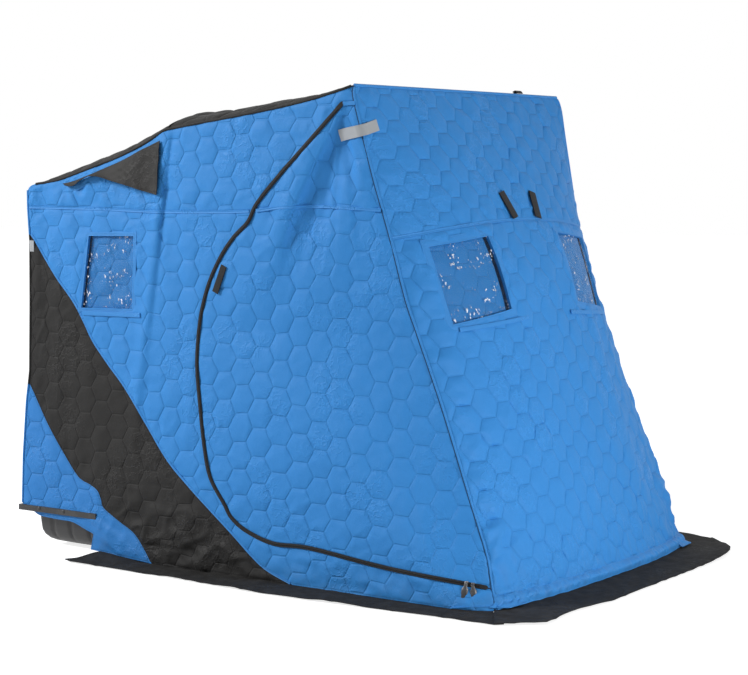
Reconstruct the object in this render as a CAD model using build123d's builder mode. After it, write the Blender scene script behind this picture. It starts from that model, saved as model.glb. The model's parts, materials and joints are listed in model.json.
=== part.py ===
from build123d import *
import os

os.makedirs("parts", exist_ok=True)

# Flip-over ice fishing shelter: a fabric body on folding bows, hinged to a moulded sled.
# Millimetres.  +X is the front, away from the sled; the right side is -Y; the ice is Z = 0.

# ---------------------------------------------------------------- driving dimensions
body_length = 2362        # rear corner to front corner at the hem
rear_height = 1570
kink_height = 1814        # where the roof changes slope, over the middle bow
peak_height = 1960
kink_run = 793            # rear corner to kink
peak_run = 1724           # rear corner to peak
top_width = 1590          # outside, at the peak height
base_width = 1706         # outside, on the ice
fabric = 10               # quilted wall thickness
roof_crown = 45           # rise of the roof's middle over its edges, at the kink

rear_lean = 30            # the rear wall's lower edge stands this far behind its top
waist_height = 1250       # level of the fold where the front wall is fullest
waist_run = 2076          # rear corner to the front wall's middle, at the waist
hem_bow = 76              # the front hem's middle stands this far ahead of its corners
flat_half = 290           # half the width of the front wall's flat middle
corner_pull = 85          # how far the front corners are drawn in, on the ice
bend_run = 1862           # rear corner to the side wall's bend towards the front corner, on the ice
bend_head = 30            # the bend's upper end behind the peak

seam_height = 1477        # side seam under the roof panel
front_seam_corner = 1372  # front seam at the corners
front_seam_rise = 60      # and how much higher it runs at the middle

skirt_thick = 4
skirt_front = 208         # skirt width ahead of the hem's middle
skirt_side = 182          # skirt width beside the hem
skirt_clip = 130          # cut-off at the skirt's front corners
skirt_taper = 30          # how much narrower the side skirts are at their ends
skirt_tuck = 15           # skirt under and inside the wall

sled_length = 655         # along X
sled_height = 200
sled_wall = 8
sled_corner = 90
sled_draft = 60           # how far the ends slope in from rim to floor
sled_flange = 26
runner_height = 22
runner_width = 45
runner_run = 150          # runners either side of the tub's middle
rail_low = 160
rail_high = 184
rail_thick = 12
rail_reach = 447          # side rails, forward from the rear corner

tube = 25                 # square bow tube
pole_gap = 3              # bow tubes to the fabric
bow_bend = 70             # bend radius at a bow's corners
base_bow_bend = 150       # and at the base bow's
base_bow_inset = 48       # its corners inside the cloth's
base_bow_height = 50
pivot_run = 586           # rear corner to the bows' common pivot
pivot_height = 262
pivot_clear = 75          # pivot to the start of each leg
pivot_plate = 8
plate_radius = 112
plate_gap = 0.6           # pivot plates to the bows' legs
seat_gap = 0.3            # between soft or curved pieces that rest on each other

door_sill = 101           # zip height at the hinge line's foot
door_foot_inset = 40      # hinge foot behind the front corner
door_head_drop = 75       # door top under the peak
door_head_inset = 67      # hinge head behind the front corner
zip_gap = 5
zip_tape = 8
zip_thick = 6

band_low = 700            # dark band across the rear wall
band_high = 1350

window_sheet = 1.5        # clear vinyl
pane_depth = 4            # sheet's outer face under the wall's
cover_thick = 8           # quilted cover behind each window
cover_lap = 22            # cover past the window's edge

hood_thick = 4
hood_lift = 8             # degrees the vent hood stands off the wall
hood_run = 225            # rear corner to the sewn edge's rear end
hood_low = 1582           # heights of the sewn edge's ends
hood_high = 1758
hood_reach = 529          # the sewn edge's length along X
hood_free = [(0, -12), (143, -24), (264, -57), (471, -204)]     # free edge, along and under the sewn one

# ---------------------------------------------------------------- derived places
rear_x = (rear_lean + rail_thick - body_length - hem_bow - skirt_front) / 2
kink_x = rear_x + kink_run
peak_x = rear_x + peak_run
corner_x = rear_x + body_length
hem_x = corner_x + hem_bow
waist_x = rear_x + waist_run
wall_foot = skirt_thick
far = 4000                # longer than anything in the model
margin = 60               # areas in side view run this far past the body
eps = 0.01


def half_width(z):
    """Outside half width of the body at height z."""
    return base_width / 2 - (base_width - top_width) / 2 * z / peak_height


def front_corner(z):
    """X of the front corner seam at height z: straight from the peak to the hem."""
    return corner_x + (peak_x - corner_x) * z / peak_height


def corner_half(z):
    """Half width at the front corner seam: drawn in by the cloth's pull, more towards the hem."""
    return half_width(z) - corner_pull * (1 - z / peak_height)


def bend_x(z):
    """X where the side wall leaves its plane and turns in to the front corner."""
    foot = rear_x + bend_run
    return foot + (peak_x - bend_head - foot) * z / peak_height


def front_middle(z):
    """X of the front wall's middle at height z: fullest at the waist."""
    if z < waist_height:
        return hem_x + (waist_x - hem_x) * z / waist_height
    return waist_x + (peak_x - waist_x) * (z - waist_height) / (peak_height - waist_height)


def rear_wall_x(z):
    """X of the rear wall's outer face at height z."""
    return rear_x - rear_lean * (rear_height - z) / (rear_height - rail_low)


def roof_z(x):
    """Height of the roof's edge at x."""
    if x < kink_x:
        return kink_height + (kink_height - rear_height) * (x - kink_x) / kink_run
    return kink_height + (peak_height - kink_height) * (x - kink_x) / (peak_run - kink_run)


def save(name, piece):
    """Label one finished piece and write its file."""
    piece.label = name
    export_step(piece, f"parts/{name}.step")


def save_pair(name, right_piece):
    """Write a right-hand piece and its mirror image on the left."""
    save(f"right_{name}", right_piece)
    with BuildPart() as left:
        mirror(right_piece, about=Plane.XZ)
    save(f"left_{name}", left.part)


# ---------------------------------------------------------------- the shell
def plan(z, inset):
    """The body's outline at height z, drawn in by inset."""
    with BuildSketch(Plane.XY.offset(z)) as outline:
        Polygon(
            (rear_wall_x(z), -half_width(z)),
            (bend_x(z), -half_width(z)),
            (front_corner(z), -corner_half(z)),
            (front_middle(z), -flat_half),
            (front_middle(z), flat_half),
            (front_corner(z), corner_half(z)),
            (bend_x(z), half_width(z)),
            (rear_wall_x(z), half_width(z)),
            align=None,
        )
        if inset:
            offset(amount=-inset, kind=Kind.INTERSECTION)
    return outline.sketch


def body_solid(inset):
    """The body as one solid from the ice to just over the peak."""
    head = peak_height - eps
    with BuildPart() as body:
        loft([plan(0, inset).face(), plan(waist_height, inset).face()], ruled=True)
        loft([plan(waist_height, inset).face(), plan(head, inset).face()], ruled=True)
    return body.part


with BuildPart() as shell:
    add(body_solid(0))
    add(body_solid(fabric), mode=Mode.SUBTRACT)
    with BuildSketch(Plane.XZ):
        Polygon(
            (rear_x - far, roof_z(rear_x - far) - fabric),
            (kink_x, kink_height - fabric),
            (peak_x + far, roof_z(peak_x + far) - fabric),
            (peak_x + far, far),
            (rear_x - far, far),
            align=None,
        )
    extrude(amount=far, both=True, mode=Mode.SUBTRACT)
    with BuildSketch(Plane.XY):
        Rectangle(2 * far, 2 * far)
    extrude(amount=wall_foot, mode=Mode.SUBTRACT)

corner_line = Vector(peak_x - corner_x, corner_half(0) - corner_half(peak_height), peak_height)
right_mitre = Plane(
    origin=(corner_x, -corner_half(0), 0),
    x_dir=corner_line,
    z_dir=corner_line.cross(Vector(-1, 1, 0)),
)
rear_line = Vector(rear_lean, 0, rear_height - rail_low)
rear_inside = Plane(
    origin=(rear_x + fabric, 0, rear_height),
    x_dir=(0, 1, 0),
    z_dir=Vector(0, 1, 0).cross(rear_line),
)
left_mitre = Plane(
    origin=(corner_x, corner_half(0), 0),
    x_dir=Vector(corner_line.X, -corner_line.Y, corner_line.Z),
    z_dir=Vector(corner_line.X, -corner_line.Y, corner_line.Z).cross(Vector(1, 1, 0)),
)

with BuildPart() as right_shell:
    add(shell.part)
    split(bisect_by=right_mitre, keep=Keep.TOP)
    split(bisect_by=rear_inside, keep=Keep.TOP)
    split(bisect_by=Plane.XZ, keep=Keep.TOP)

with BuildPart() as front_shell:
    add(shell.part)
    split(bisect_by=right_mitre, keep=Keep.BOTTOM)
    split(bisect_by=left_mitre, keep=Keep.BOTTOM)

with BuildPart() as rear_shell:
    add(shell.part)
    split(bisect_by=rear_inside, keep=Keep.BOTTOM)


def along_side(points):
    """A flat outline in side view, as points of (distance ahead of the rear corner, height)."""
    return [(rear_x + run, z) for run, z in points]


def layer(outer, inner):
    """The body's skin between two depths under its outer face."""
    with BuildPart() as skin:
        add(body_solid(outer))
        add(body_solid(inner), mode=Mode.SUBTRACT)
    return skin.part


def grown(outline, amount):
    """A flat outline grown all round."""
    return offset(outline, amount=amount, kind=Kind.INTERSECTION)


def cut_from(stock, keep, *remove, way=(0, -1, 0)):
    """Cut a panel from a skin along outlines drawn in a view, looking along way from the middle."""
    with BuildPart() as panel:
        add(stock)
        extrude(keep, amount=far, dir=way, mode=Mode.INTERSECT)
        for outline in remove:
            extrude(outline, amount=far, dir=way, mode=Mode.SUBTRACT)
    return panel.part


# ---------------------------------------------------------------- door outlines, in side view
hinge_head = (front_corner(peak_height - door_head_drop) - door_head_inset, peak_height - door_head_drop)
hinge_foot = (front_corner(door_sill) - door_foot_inset, door_sill)
zip_bend = [                # behind the hinge foot, height
    (906, 1623),
    (1145, 1367),
    (1267, 1187),
    (1330, 846),
    (1287, 511),
    (1184, 297),
    (1059, 193),
    (925, 159),
    (448, 127),
]
zip_line = Spline(hinge_head, *[(hinge_foot[0] - back, z) for back, z in zip_bend], hinge_foot)
zip_steps = 24
hinge_rise = Vector(hinge_head[0] - hinge_foot[0], hinge_head[1] - hinge_foot[1]).normalized()


def door_outline(grow):
    """Inside the zip's line moved outward by grow, and on past the hinge line."""
    edge_points = []
    for step in range(zip_steps + 1):
        place = step / zip_steps
        run = zip_line % place
        edge_points.append(zip_line @ place + Vector(run.Y, -run.X) * grow)
    with BuildSketch(Plane.XZ) as outline:
        with BuildLine():
            edge = Spline(*edge_points)
            past_foot = edge @ 1 + (edge % 1) * margin
            past_head = edge @ 0 - (edge % 0) * margin
            Polyline(edge @ 1, past_foot, past_head, edge @ 0)
        make_face()
    return outline.sketch


def behind_hinge(setback):
    """Everything behind the hinge line, in side view, less a setback."""
    start = Vector(*hinge_foot) - hinge_rise * far + Vector(-setback, 0)
    end = Vector(*hinge_foot) + hinge_rise * far + Vector(-setback, 0)
    with BuildSketch(Plane.XZ) as half:
        Polygon((start.X, start.Y), (end.X, end.Y), (end.X - 2 * far, end.Y), (start.X - 2 * far, start.Y),
                align=None)
    return half.sketch


def door_region(grow):
    """The door's outline behind its hinge line."""
    with BuildSketch(Plane.XZ) as region:
        add(door_outline(grow))
        add(behind_hinge(seat_gap / 2), mode=Mode.INTERSECT)
    return region.sketch


# ---------------------------------------------------------------- side walls
dark_top = [(-margin, 1430), (67, 1285), (269, 1084), (388, 916), (572, 729), (808, 446), (1040, 260),
            (1266, 90), (1465, 3), (1560, -margin)]
dark_low = [(-margin, 790), (122, 546), (307, 333), (419, 282), (454, 213), (625, 124), (726, 4), (760, -margin)]
sill_run = 1146            # rear corner to the joint under the door
tail_run = 373             # rear corner to the wall's rear end on the ice
tail_rise = 98             # height of the tail's top there
tail_slant = 20


def under(curve):
    """Everything in side view under a curve that runs down to the front."""
    with BuildSketch(Plane.XZ) as area:
        with BuildLine():
            edge = Spline(*along_side(curve))
            Line(edge @ 1, (rear_x - margin, -margin))
            Line((rear_x - margin, -margin), edge @ 0)
        make_face()
    return area.sketch


def box_area(low, high):
    """A rectangle in side view between two corners."""
    with BuildSketch(Plane.XZ) as area:
        with Locations(low):
            Rectangle(high[0] - low[0], high[1] - low[1], align=(Align.MIN, Align.MIN))
    return area.sketch


low_corner = (rear_x - margin, -margin)
high_corner = (hem_x + margin, peak_height + margin)
above_seam = box_area((low_corner[0], seam_height), high_corner)
below_seam = box_area(low_corner, (high_corner[0], seam_height))
sill_area = box_area((rear_x + sill_run, -margin), (high_corner[0], zip_bend[5][1]))

with BuildSketch(Plane.XZ) as front_strip:
    add(box_area(low_corner, (high_corner[0], hinge_head[1])))
    add(behind_hinge(-seat_gap / 2), mode=Mode.SUBTRACT)
ahead_of_hinge = front_strip.sketch

with BuildSketch(Plane.XZ) as surround:
    add(sill_area)
    add(ahead_of_hinge)
surround_area = surround.sketch

with BuildSketch(Plane.XZ) as below_tail:
    tail_edge = along_side([(-margin, rail_low), (tail_run - tail_slant, tail_rise), (tail_run, 0)])
    Polygon(*tail_edge, low_corner, align=None)

side_window = along_side([(355, 1365), (621, 1368), (614, 1054), (328, 1056)])
front_window = [(-600, 1338), (-300, 1368), (-300, 1080), (-585, 1046)]

side_opening = Plane.XZ * Polygon(*side_window, align=None)
front_opening = Plane.YZ * Polygon(*front_window, align=None)

doorway = door_outline(zip_gap / 2)
under_top = under(dark_top)
side = right_shell.part
save_pair("wall_upper", cut_from(side, above_seam, ahead_of_hinge, doorway))
save_pair("wall_panel", cut_from(side, below_seam, ahead_of_hinge, under_top, doorway, sill_area, side_opening))
save_pair("door_surround", cut_from(side, surround_area, under_top, door_region(zip_gap / 2)))
save_pair("wall_dark_panel", cut_from(side, under_top, under(dark_low)))
save_pair("wall_tail", cut_from(side, under(dark_low), below_tail.sketch))

# ---------------------------------------------------------------- doors
door_skin = cut_from(side, door_region(-zip_gap / 2 - zip_tape))
save_pair("door", door_skin)

zip_layer = cut_from(layer(0, zip_thick), door_region(-zip_gap / 2), door_outline(-zip_gap / 2 - zip_tape))
save_pair("door_zip", zip_layer)

# ---------------------------------------------------------------- windows and their covers
pane_layer = layer(pane_depth, pane_depth + window_sheet)
cover_layer = layer(fabric, fabric + cover_thick)
save_pair("side_window", cut_from(pane_layer, side_opening))
save_pair("side_window_cover", cut_from(cover_layer, grown(side_opening, cover_lap)))
save_pair("front_window", cut_from(pane_layer, front_opening, way=(1, 0, 0)))
save_pair("front_window_cover", cut_from(cover_layer, grown(front_opening, cover_lap), way=(1, 0, 0)))

# ---------------------------------------------------------------- front and rear walls
with BuildSketch(Plane.YZ) as front_top:
    with BuildLine():
        seam = ThreePointArc(
            (-base_width / 2, front_seam_corner), (0, front_seam_corner + front_seam_rise),
            (base_width / 2, front_seam_corner))
        Polyline(seam @ 1, (base_width / 2, far), (-base_width / 2, far), seam @ 0)
    make_face()
front = front_shell.part
save("front_wall_upper", cut_from(front, front_top.sketch, way=(1, 0, 0)))
openings = [front_opening, front_opening.mirror(Plane.XZ)]
with BuildPart() as front_lower:
    add(front)
    extrude(front_top.sketch, amount=far, dir=(1, 0, 0), mode=Mode.SUBTRACT)
    for opening in openings:
        extrude(opening, amount=far, dir=(1, 0, 0), mode=Mode.SUBTRACT)
save("front_wall_lower", front_lower.part)

for name, low, high in (("upper", band_high, far), ("band", band_low, band_high), ("lower", rail_low, band_low)):
    with BuildPart() as rear:
        add(rear_shell.part)
        with BuildSketch(Plane.XY.offset(low)):
            Rectangle(2 * far, 2 * far)
        extrude(amount=high - low, mode=Mode.INTERSECT)
    save(f"rear_wall_{name}", rear.part)

# ---------------------------------------------------------------- roof


def roof_section(x, crown):
    """The roof's cut at x: its edges at the side walls' height and its middle up by crown."""
    top = roof_z(x)
    half = half_width(top)
    with BuildSketch(Plane.YZ.offset(x)) as section:
        with BuildLine():
            if crown:
                ThreePointArc((-half, top), (0, top + crown), (half, top))
                ThreePointArc((-half, top - fabric), (0, top - fabric + crown), (half, top - fabric))
            else:
                Line((-half, top), (half, top))
                Line((-half, top - fabric), (half, top - fabric))
            Line((half, top), (half, top - fabric))
            Line((-half, top), (-half, top - fabric))
        make_face()
    return section.sketch.face()


with BuildPart() as roof_rear:
    loft([roof_section(rear_x, 0), roof_section(kink_x, roof_crown)], ruled=True)
save("roof_rear", roof_rear.part)

with BuildPart() as roof_front:
    loft([roof_section(kink_x, roof_crown), roof_section(peak_x, 0)], ruled=True)
save("roof_front", roof_front.part)

# ---------------------------------------------------------------- vent hoods
wall_up = Vector(0, (base_width - top_width) / 2, peak_height)
hood_edge = Vector(hood_reach, half_width(hood_low) - half_width(hood_high), hood_high - hood_low)
hood_plane = Plane(
    origin=(rear_x + hood_run, -half_width(hood_low) - seat_gap, hood_low),
    x_dir=hood_edge,
    z_dir=hood_edge.cross(wall_up).rotate(Axis((0, 0, 0), hood_edge), -hood_lift),
)
with BuildPart() as hood:
    with BuildSketch(hood_plane):
        with BuildLine():
            free = Spline(*hood_free)
            Polyline(free @ 1, (hood_edge.length, 0), (0, 0), free @ 0)
        make_face()
    extrude(amount=hood_thick)
save_pair("vent_hood", hood.part)

# ---------------------------------------------------------------- skirts
skirt_y = base_width / 2 + skirt_side
skirt_x = hem_x + skirt_front
with BuildPart() as skirt:
    with BuildSketch(Plane.XY):
        side_edge = [
            (rear_x + tail_run, -base_width / 2 + fabric + skirt_tuck),
            (rear_x + tail_run, -skirt_y + skirt_taper),
            (rear_x + body_length / 2, -skirt_y),
            (skirt_x - skirt_clip, -skirt_y + skirt_taper),
            (skirt_x, -skirt_y + skirt_taper + skirt_clip),
        ]
        Polygon(*side_edge, *[(x, -y) for x, y in reversed(side_edge)], align=None)
        add(plan(0, fabric + skirt_tuck), mode=Mode.SUBTRACT)
    extrude(amount=skirt_thick)
with BuildPart() as front_skirt:
    add(skirt.part)
    split(bisect_by=Plane.YZ.offset(corner_x), keep=Keep.TOP)
save("front_skirt", front_skirt.part)
with BuildPart() as side_skirt:
    add(skirt.part)
    split(bisect_by=Plane.YZ.offset(corner_x), keep=Keep.BOTTOM)
    split(bisect_by=Plane.XZ, keep=Keep.TOP)
save_pair("skirt", side_skirt.part)

# ---------------------------------------------------------------- bows and their pivots
pivot_x = rear_x + pivot_run
bow_inset = fabric + pole_gap + tube / 2


def bow_half(z):
    """Half width of a bow's tube centre at height z."""
    return half_width(z) - bow_inset


def bow(tip_x, tip_z, tip_half, radius=bow_bend, bend=None):
    """A bow of square tube from the pivots out to its crossbar, in the plane that holds both.

    Its legs run inside the side walls, and from X = bend they turn in with the cloth.
    """
    reach = Vector(tip_x - pivot_x, 0, tip_z - pivot_height)
    plane = Plane(origin=(pivot_x, 0, pivot_height), x_dir=(0, 1, 0), z_dir=Vector(0, 1, 0).cross(reach))
    foot = bow_half(pivot_height)
    head = bow_half(tip_z)
    start = foot + (head - foot) * pivot_clear / reach.length
    leg = [(start, pivot_clear)]
    if bend:
        share = (bend - pivot_x) / reach.X
        leg.append((foot + (head - foot) * share, reach.length * share))
    leg.append((tip_half, reach.length))
    with BuildPart() as piece:
        with BuildSketch(plane):
            with BuildLine():
                FilletPolyline(*[(-y, run) for y, run in leg], *reversed(leg), radius=radius)
            trace(line_width=tube)
        extrude(amount=tube / 2, both=True)
    return piece.part


rear_tip = rear_height - bow_inset - tube
middle_tip = kink_height - fabric - pole_gap - tube
peak_tip = peak_height - fabric - tube
save("rear_bow", bow(rear_x + bow_inset + tube, rear_tip, bow_half(rear_tip)))
save("middle_bow", bow(kink_x, middle_tip, bow_half(middle_tip)))
save("peak_bow", bow(peak_x - tube, peak_tip, bow_half(peak_tip)))
base_tip = front_corner(base_bow_height) - bow_inset - pole_gap
base_half = corner_half(base_bow_height) - base_bow_inset
save("base_bow", bow(base_tip, base_bow_height, base_half, base_bow_bend, bend_x(base_bow_height) - tube))

plate_depth = bow_inset + tube / 2 + plate_gap
with BuildSketch(Plane.XZ) as plate_area:
    with Locations((pivot_x, pivot_height)):
        Circle(plate_radius)
    with Locations((pivot_x, sled_height)):
        Rectangle(2 * plate_radius, pivot_height - sled_height, align=(Align.CENTER, Align.MIN))
        Rectangle(2 * far, far, align=(Align.CENTER, Align.MAX), mode=Mode.SUBTRACT)
save_pair("pivot_plate", cut_from(layer(plate_depth, plate_depth + pivot_plate), plate_area.sketch))

# ---------------------------------------------------------------- sled
rim_back = rear_wall_x(sled_height) + fabric + seat_gap
rim_half = half_width(sled_height) - fabric - 2 * seat_gap
rim_x = rim_back + sled_length / 2


def tub_outline(z, inset):
    """The tub's outline at height z under its flange, drawn in by inset."""
    slope = sled_draft * (sled_height - z) / (sled_height - runner_height)
    draw_in = sled_flange + slope + inset
    with BuildSketch(Plane.XY.offset(z)) as outline:
        with Locations((rim_x, 0)):
            RectangleRounded(sled_length - 2 * draw_in, 2 * (rim_half - draw_in), sled_corner - inset)
    return outline.sketch.face()


with BuildPart() as sled:
    loft([tub_outline(runner_height, 0), tub_outline(sled_height, 0)])
    with BuildSketch(Plane.XY.offset(sled_height - sled_wall)):
        with Locations((rim_x, 0)):
            Rectangle(sled_length, 2 * rim_half)
    extrude(amount=sled_wall)
    loft([tub_outline(runner_height + sled_wall, sled_wall), tub_outline(sled_height, sled_wall)],
         mode=Mode.SUBTRACT)
    with BuildSketch(Plane.XY):
        with Locations((rim_x - runner_run, 0), (rim_x + runner_run, 0)):
            RectangleRounded(runner_width, 2 * (rim_half - sled_flange - sled_draft - sled_corner),
                             runner_width / 2 - 1)
    extrude(amount=runner_height)
save("sled", sled.part)

# ---------------------------------------------------------------- rails
rail_ring = layer(-rail_thick, 0)
with BuildPart() as rail_band:
    add(rail_ring)
    with BuildSketch(Plane.XY.offset(rail_low)):
        Rectangle(2 * far, 2 * far)
    extrude(amount=rail_high - rail_low, mode=Mode.INTERSECT)
rear_outside = Plane(origin=(rear_x, 0, rear_height), x_dir=(0, 1, 0), z_dir=rear_inside.z_dir)
with BuildPart() as rear_rail:
    add(rail_band.part)
    split(bisect_by=rear_outside, keep=Keep.BOTTOM)
save("rear_rail", rear_rail.part)
with BuildPart() as side_rail:
    add(rail_band.part)
    split(bisect_by=rear_outside, keep=Keep.TOP)
    split(bisect_by=Plane.XZ, keep=Keep.TOP)
    split(bisect_by=Plane.YZ.offset(rear_x + rail_reach - rear_lean), keep=Keep.BOTTOM)
save_pair("rail", side_rail.part)
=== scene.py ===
"""Flip-over ice fishing shelter: quilted fabric body, zipped doors, windows, skirt, bows and sled."""

import json
import math
from functools import partial

import bmesh
import bpy
import numpy as np
from bpy.props import FloatProperty, FloatVectorProperty, IntProperty, PointerProperty
from mathutils import Matrix, Vector
from mathutils.geometry import delaunay_2d_cdt


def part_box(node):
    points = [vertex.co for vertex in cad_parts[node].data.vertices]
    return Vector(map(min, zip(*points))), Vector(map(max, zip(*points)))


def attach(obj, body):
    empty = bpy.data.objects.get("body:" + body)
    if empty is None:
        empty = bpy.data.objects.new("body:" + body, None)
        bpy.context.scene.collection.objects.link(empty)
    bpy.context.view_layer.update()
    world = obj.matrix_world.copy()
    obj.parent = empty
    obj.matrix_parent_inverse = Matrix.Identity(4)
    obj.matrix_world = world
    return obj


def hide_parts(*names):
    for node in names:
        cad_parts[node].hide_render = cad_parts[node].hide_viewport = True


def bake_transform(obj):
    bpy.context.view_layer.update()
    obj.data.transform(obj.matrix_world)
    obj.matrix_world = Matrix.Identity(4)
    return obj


bl_info = {
    "name": "Ice Shelter Builder",
    "version": (1, 0, 0),
    "blender": (4, 5, 0),
    "location": "3D View > Sidebar > Shelter",
    "description": "Builds the looks of a flip-over ice fishing shelter around its packed frame",
    "category": "Object",
}

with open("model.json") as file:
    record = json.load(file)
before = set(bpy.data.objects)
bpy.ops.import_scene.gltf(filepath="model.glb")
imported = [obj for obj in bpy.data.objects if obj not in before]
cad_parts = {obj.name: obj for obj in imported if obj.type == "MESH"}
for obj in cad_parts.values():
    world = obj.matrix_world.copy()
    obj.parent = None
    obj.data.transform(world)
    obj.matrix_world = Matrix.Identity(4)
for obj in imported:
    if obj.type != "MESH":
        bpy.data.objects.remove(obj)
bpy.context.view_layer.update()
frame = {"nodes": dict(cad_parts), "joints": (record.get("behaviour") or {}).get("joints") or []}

# ------------------------------------------------------------------ lay-out, in metres
REAR = -1.302  # rear corner, level with its top
KINK = -0.509  # over the middle bow
PEAK = 0.422  # over the peak bow
TOP_HALF = 0.795
BASE_HALF = 0.853
TOP = 1.96
REAR_TOP = 1.570
KINK_TOP = 1.814
RAIL = 0.172  # height of the clamp rails' middle
FOOT = 0.004  # walls stand on the skirt
PIVOT = (-0.716, 0.262)  # X and height where the bows turn on the sled
LEAN_TO = (4.713, -6.7245, 1.607)  # the pulled-in side panels lean along lines through here

# front corner seam, from the ice up: X, half width, height
CORNER = [
    (1.072, 0.786, 0.0), (1.040, 0.764, 0.060), (1.019, 0.749, 0.123), (0.993, 0.742, 0.217),
    (0.921, 0.738, 0.406), (0.831, 0.727, 0.634), (0.775, 0.724, 0.776), (0.678, 0.724, 1.012),
    (0.630, 0.730, 1.140), (0.567, 0.735, 1.359), (0.534, 0.746, 1.481), (0.503, 0.762, 1.606),
    (0.462, 0.779, 1.785), (0.441, 0.789, 1.880), (0.429, 0.787, 1.930),
    (0.424, 0.770, 1.956)]
# front wall's middle: height, X
FRONT_MIDDLE = [(0.0, 1.138), (1.25, 0.776), (1.958, 0.424)]
# rear corner: height, and how far the slack cloth is drawn forward there
REAR_PULL = [
    (0.40, 0.0), (0.64, 0.013), (0.775, 0.030), (1.08, 0.029), (1.34, 0.024), (1.48, 0.006), (1.57, 0.0)]
# height and X of the long fold that hangs from the door's upper front corner
DOOR_FOLD = [
    (1.10, 0.060), (1.165, 0.069), (1.362, 0.107), (1.534, 0.174), (1.684, 0.269), (1.821, 0.353),
    (1.90, 0.405)]
# lines on the side panels, each point X and height: the top edge, the long seam, the door's zip, the dark
# panel's two edges and the rear tail's foot
EAVE = [
    (-1.305, 1.556), (-1.290, 1.572), (-1.261, 1.582), (-1.160, 1.594), (-1.083, 1.609), (-0.952, 1.645),
    (-0.860, 1.670), (-0.770, 1.696), (-0.636, 1.745), (-0.555, 1.784), (-0.518, 1.802), (-0.440, 1.813),
    (-0.357, 1.824), (-0.095, 1.857), (0.179, 1.897), (0.350, 1.934), (0.424, 1.953)]
SIDE_SEAM = [
    (-1.31, 1.483), (-0.877, 1.477), (-0.54, 1.468), (-0.101, 1.472), (0.10, 1.490), (0.26, 1.494),
    (0.42, 1.489), (0.70, 1.476)]
ZIP = [
    (0.381, 1.885), (0.218, 1.737), (0.091, 1.623), (-0.027, 1.506), (-0.075, 1.430), (-0.148, 1.367),
    (-0.215, 1.285), (-0.270, 1.187), (-0.307, 1.080), (-0.326, 0.974), (-0.333, 0.846), (-0.319, 0.710),
    (-0.290, 0.511), (-0.257, 0.392), (-0.187, 0.297), (-0.142, 0.238), (-0.062, 0.193), (0.072, 0.159),
    (0.250, 0.160), (0.557, 0.129), (0.760, 0.115), (1.054, 0.101)]
DARK_TOP = [
    (-1.312, 1.372), (-1.235, 1.285), (-1.140, 1.190), (-1.033, 1.084), (-0.970, 1.000), (-0.914, 0.916),
    (-0.825, 0.822), (-0.730, 0.729), (-0.610, 0.585), (-0.494, 0.446), (-0.375, 0.345), (-0.262, 0.260),
    (-0.140, 0.170), (-0.036, 0.090), (0.040, 0.045), (0.163, 0.003)]
DARK_LOW = [
    (-1.318, 0.724), (-1.250, 0.640), (-1.180, 0.546), (-1.080, 0.425), (-0.995, 0.333), (-0.925, 0.305),
    (-0.883, 0.282), (-0.862, 0.245), (-0.848, 0.213), (-0.760, 0.165), (-0.677, 0.124), (-0.620, 0.065),
    (-0.576, 0.004)]
TAIL = [
    (-1.331, 0.184), (-1.275, 0.163), (-1.232, 0.144), (-1.180, 0.139), (-1.110, 0.136), (-1.030, 0.133),
    (-0.951, 0.108), (-0.912, 0.096), (-0.908, 0.088), (-0.914, 0.066), (-0.923, 0.026)]
SIDE_WINDOW = [(-0.939, 1.364), (-0.683, 1.367), (-0.689, 1.062), (-0.982, 1.057)]
FRONT_WINDOW = [(0.603, 1.338), (0.275, 1.372), (0.266, 1.084), (0.588, 1.040)]  # half width, height
# the vent hood's sewn edge and its free edge: X, height
HOOD_TOP = [
    (-1.084, 1.584), (-1.028, 1.593), (-0.949, 1.615), (-0.849, 1.646), (-0.753, 1.676), (-0.636, 1.722),
    (-0.533, 1.758)]
HOOD_LOW = [
    (-1.063, 1.575), (-1.022, 1.572), (-0.993, 1.579), (-0.946, 1.602), (-0.903, 1.614), (-0.837, 1.610),
    (-0.763, 1.593), (-0.650, 1.562), (-0.545, 1.537)]
# skirt's outer edge on the right, front and left, from the rear tip round: X and Y
SKIRT_EDGE = [
    (-0.929, -1.005), (-0.880, -1.018), (-0.644, -1.019), (-0.346, -1.017), (0.093, -1.041), (0.400, -1.030),
    (0.669, -1.008), (1.010, -0.983), (1.176, -0.983), (1.329, -0.866), (1.309, -0.631), (1.345, -0.396),
    (1.345, 0.051), (1.349, 0.480), (1.344, 0.600), (1.325, 0.690), (1.290, 0.770), (1.222, 0.861),
    (1.120, 0.950), (0.930, 1.020), (0.400, 1.025), (-0.346, 1.017), (-0.644, 1.019), (-0.929, 1.005)]
SKIRT_CORNERS = (SKIRT_EDGE[8], SKIRT_EDGE[18])  # where the front skirt meets the right and the left one


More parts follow.
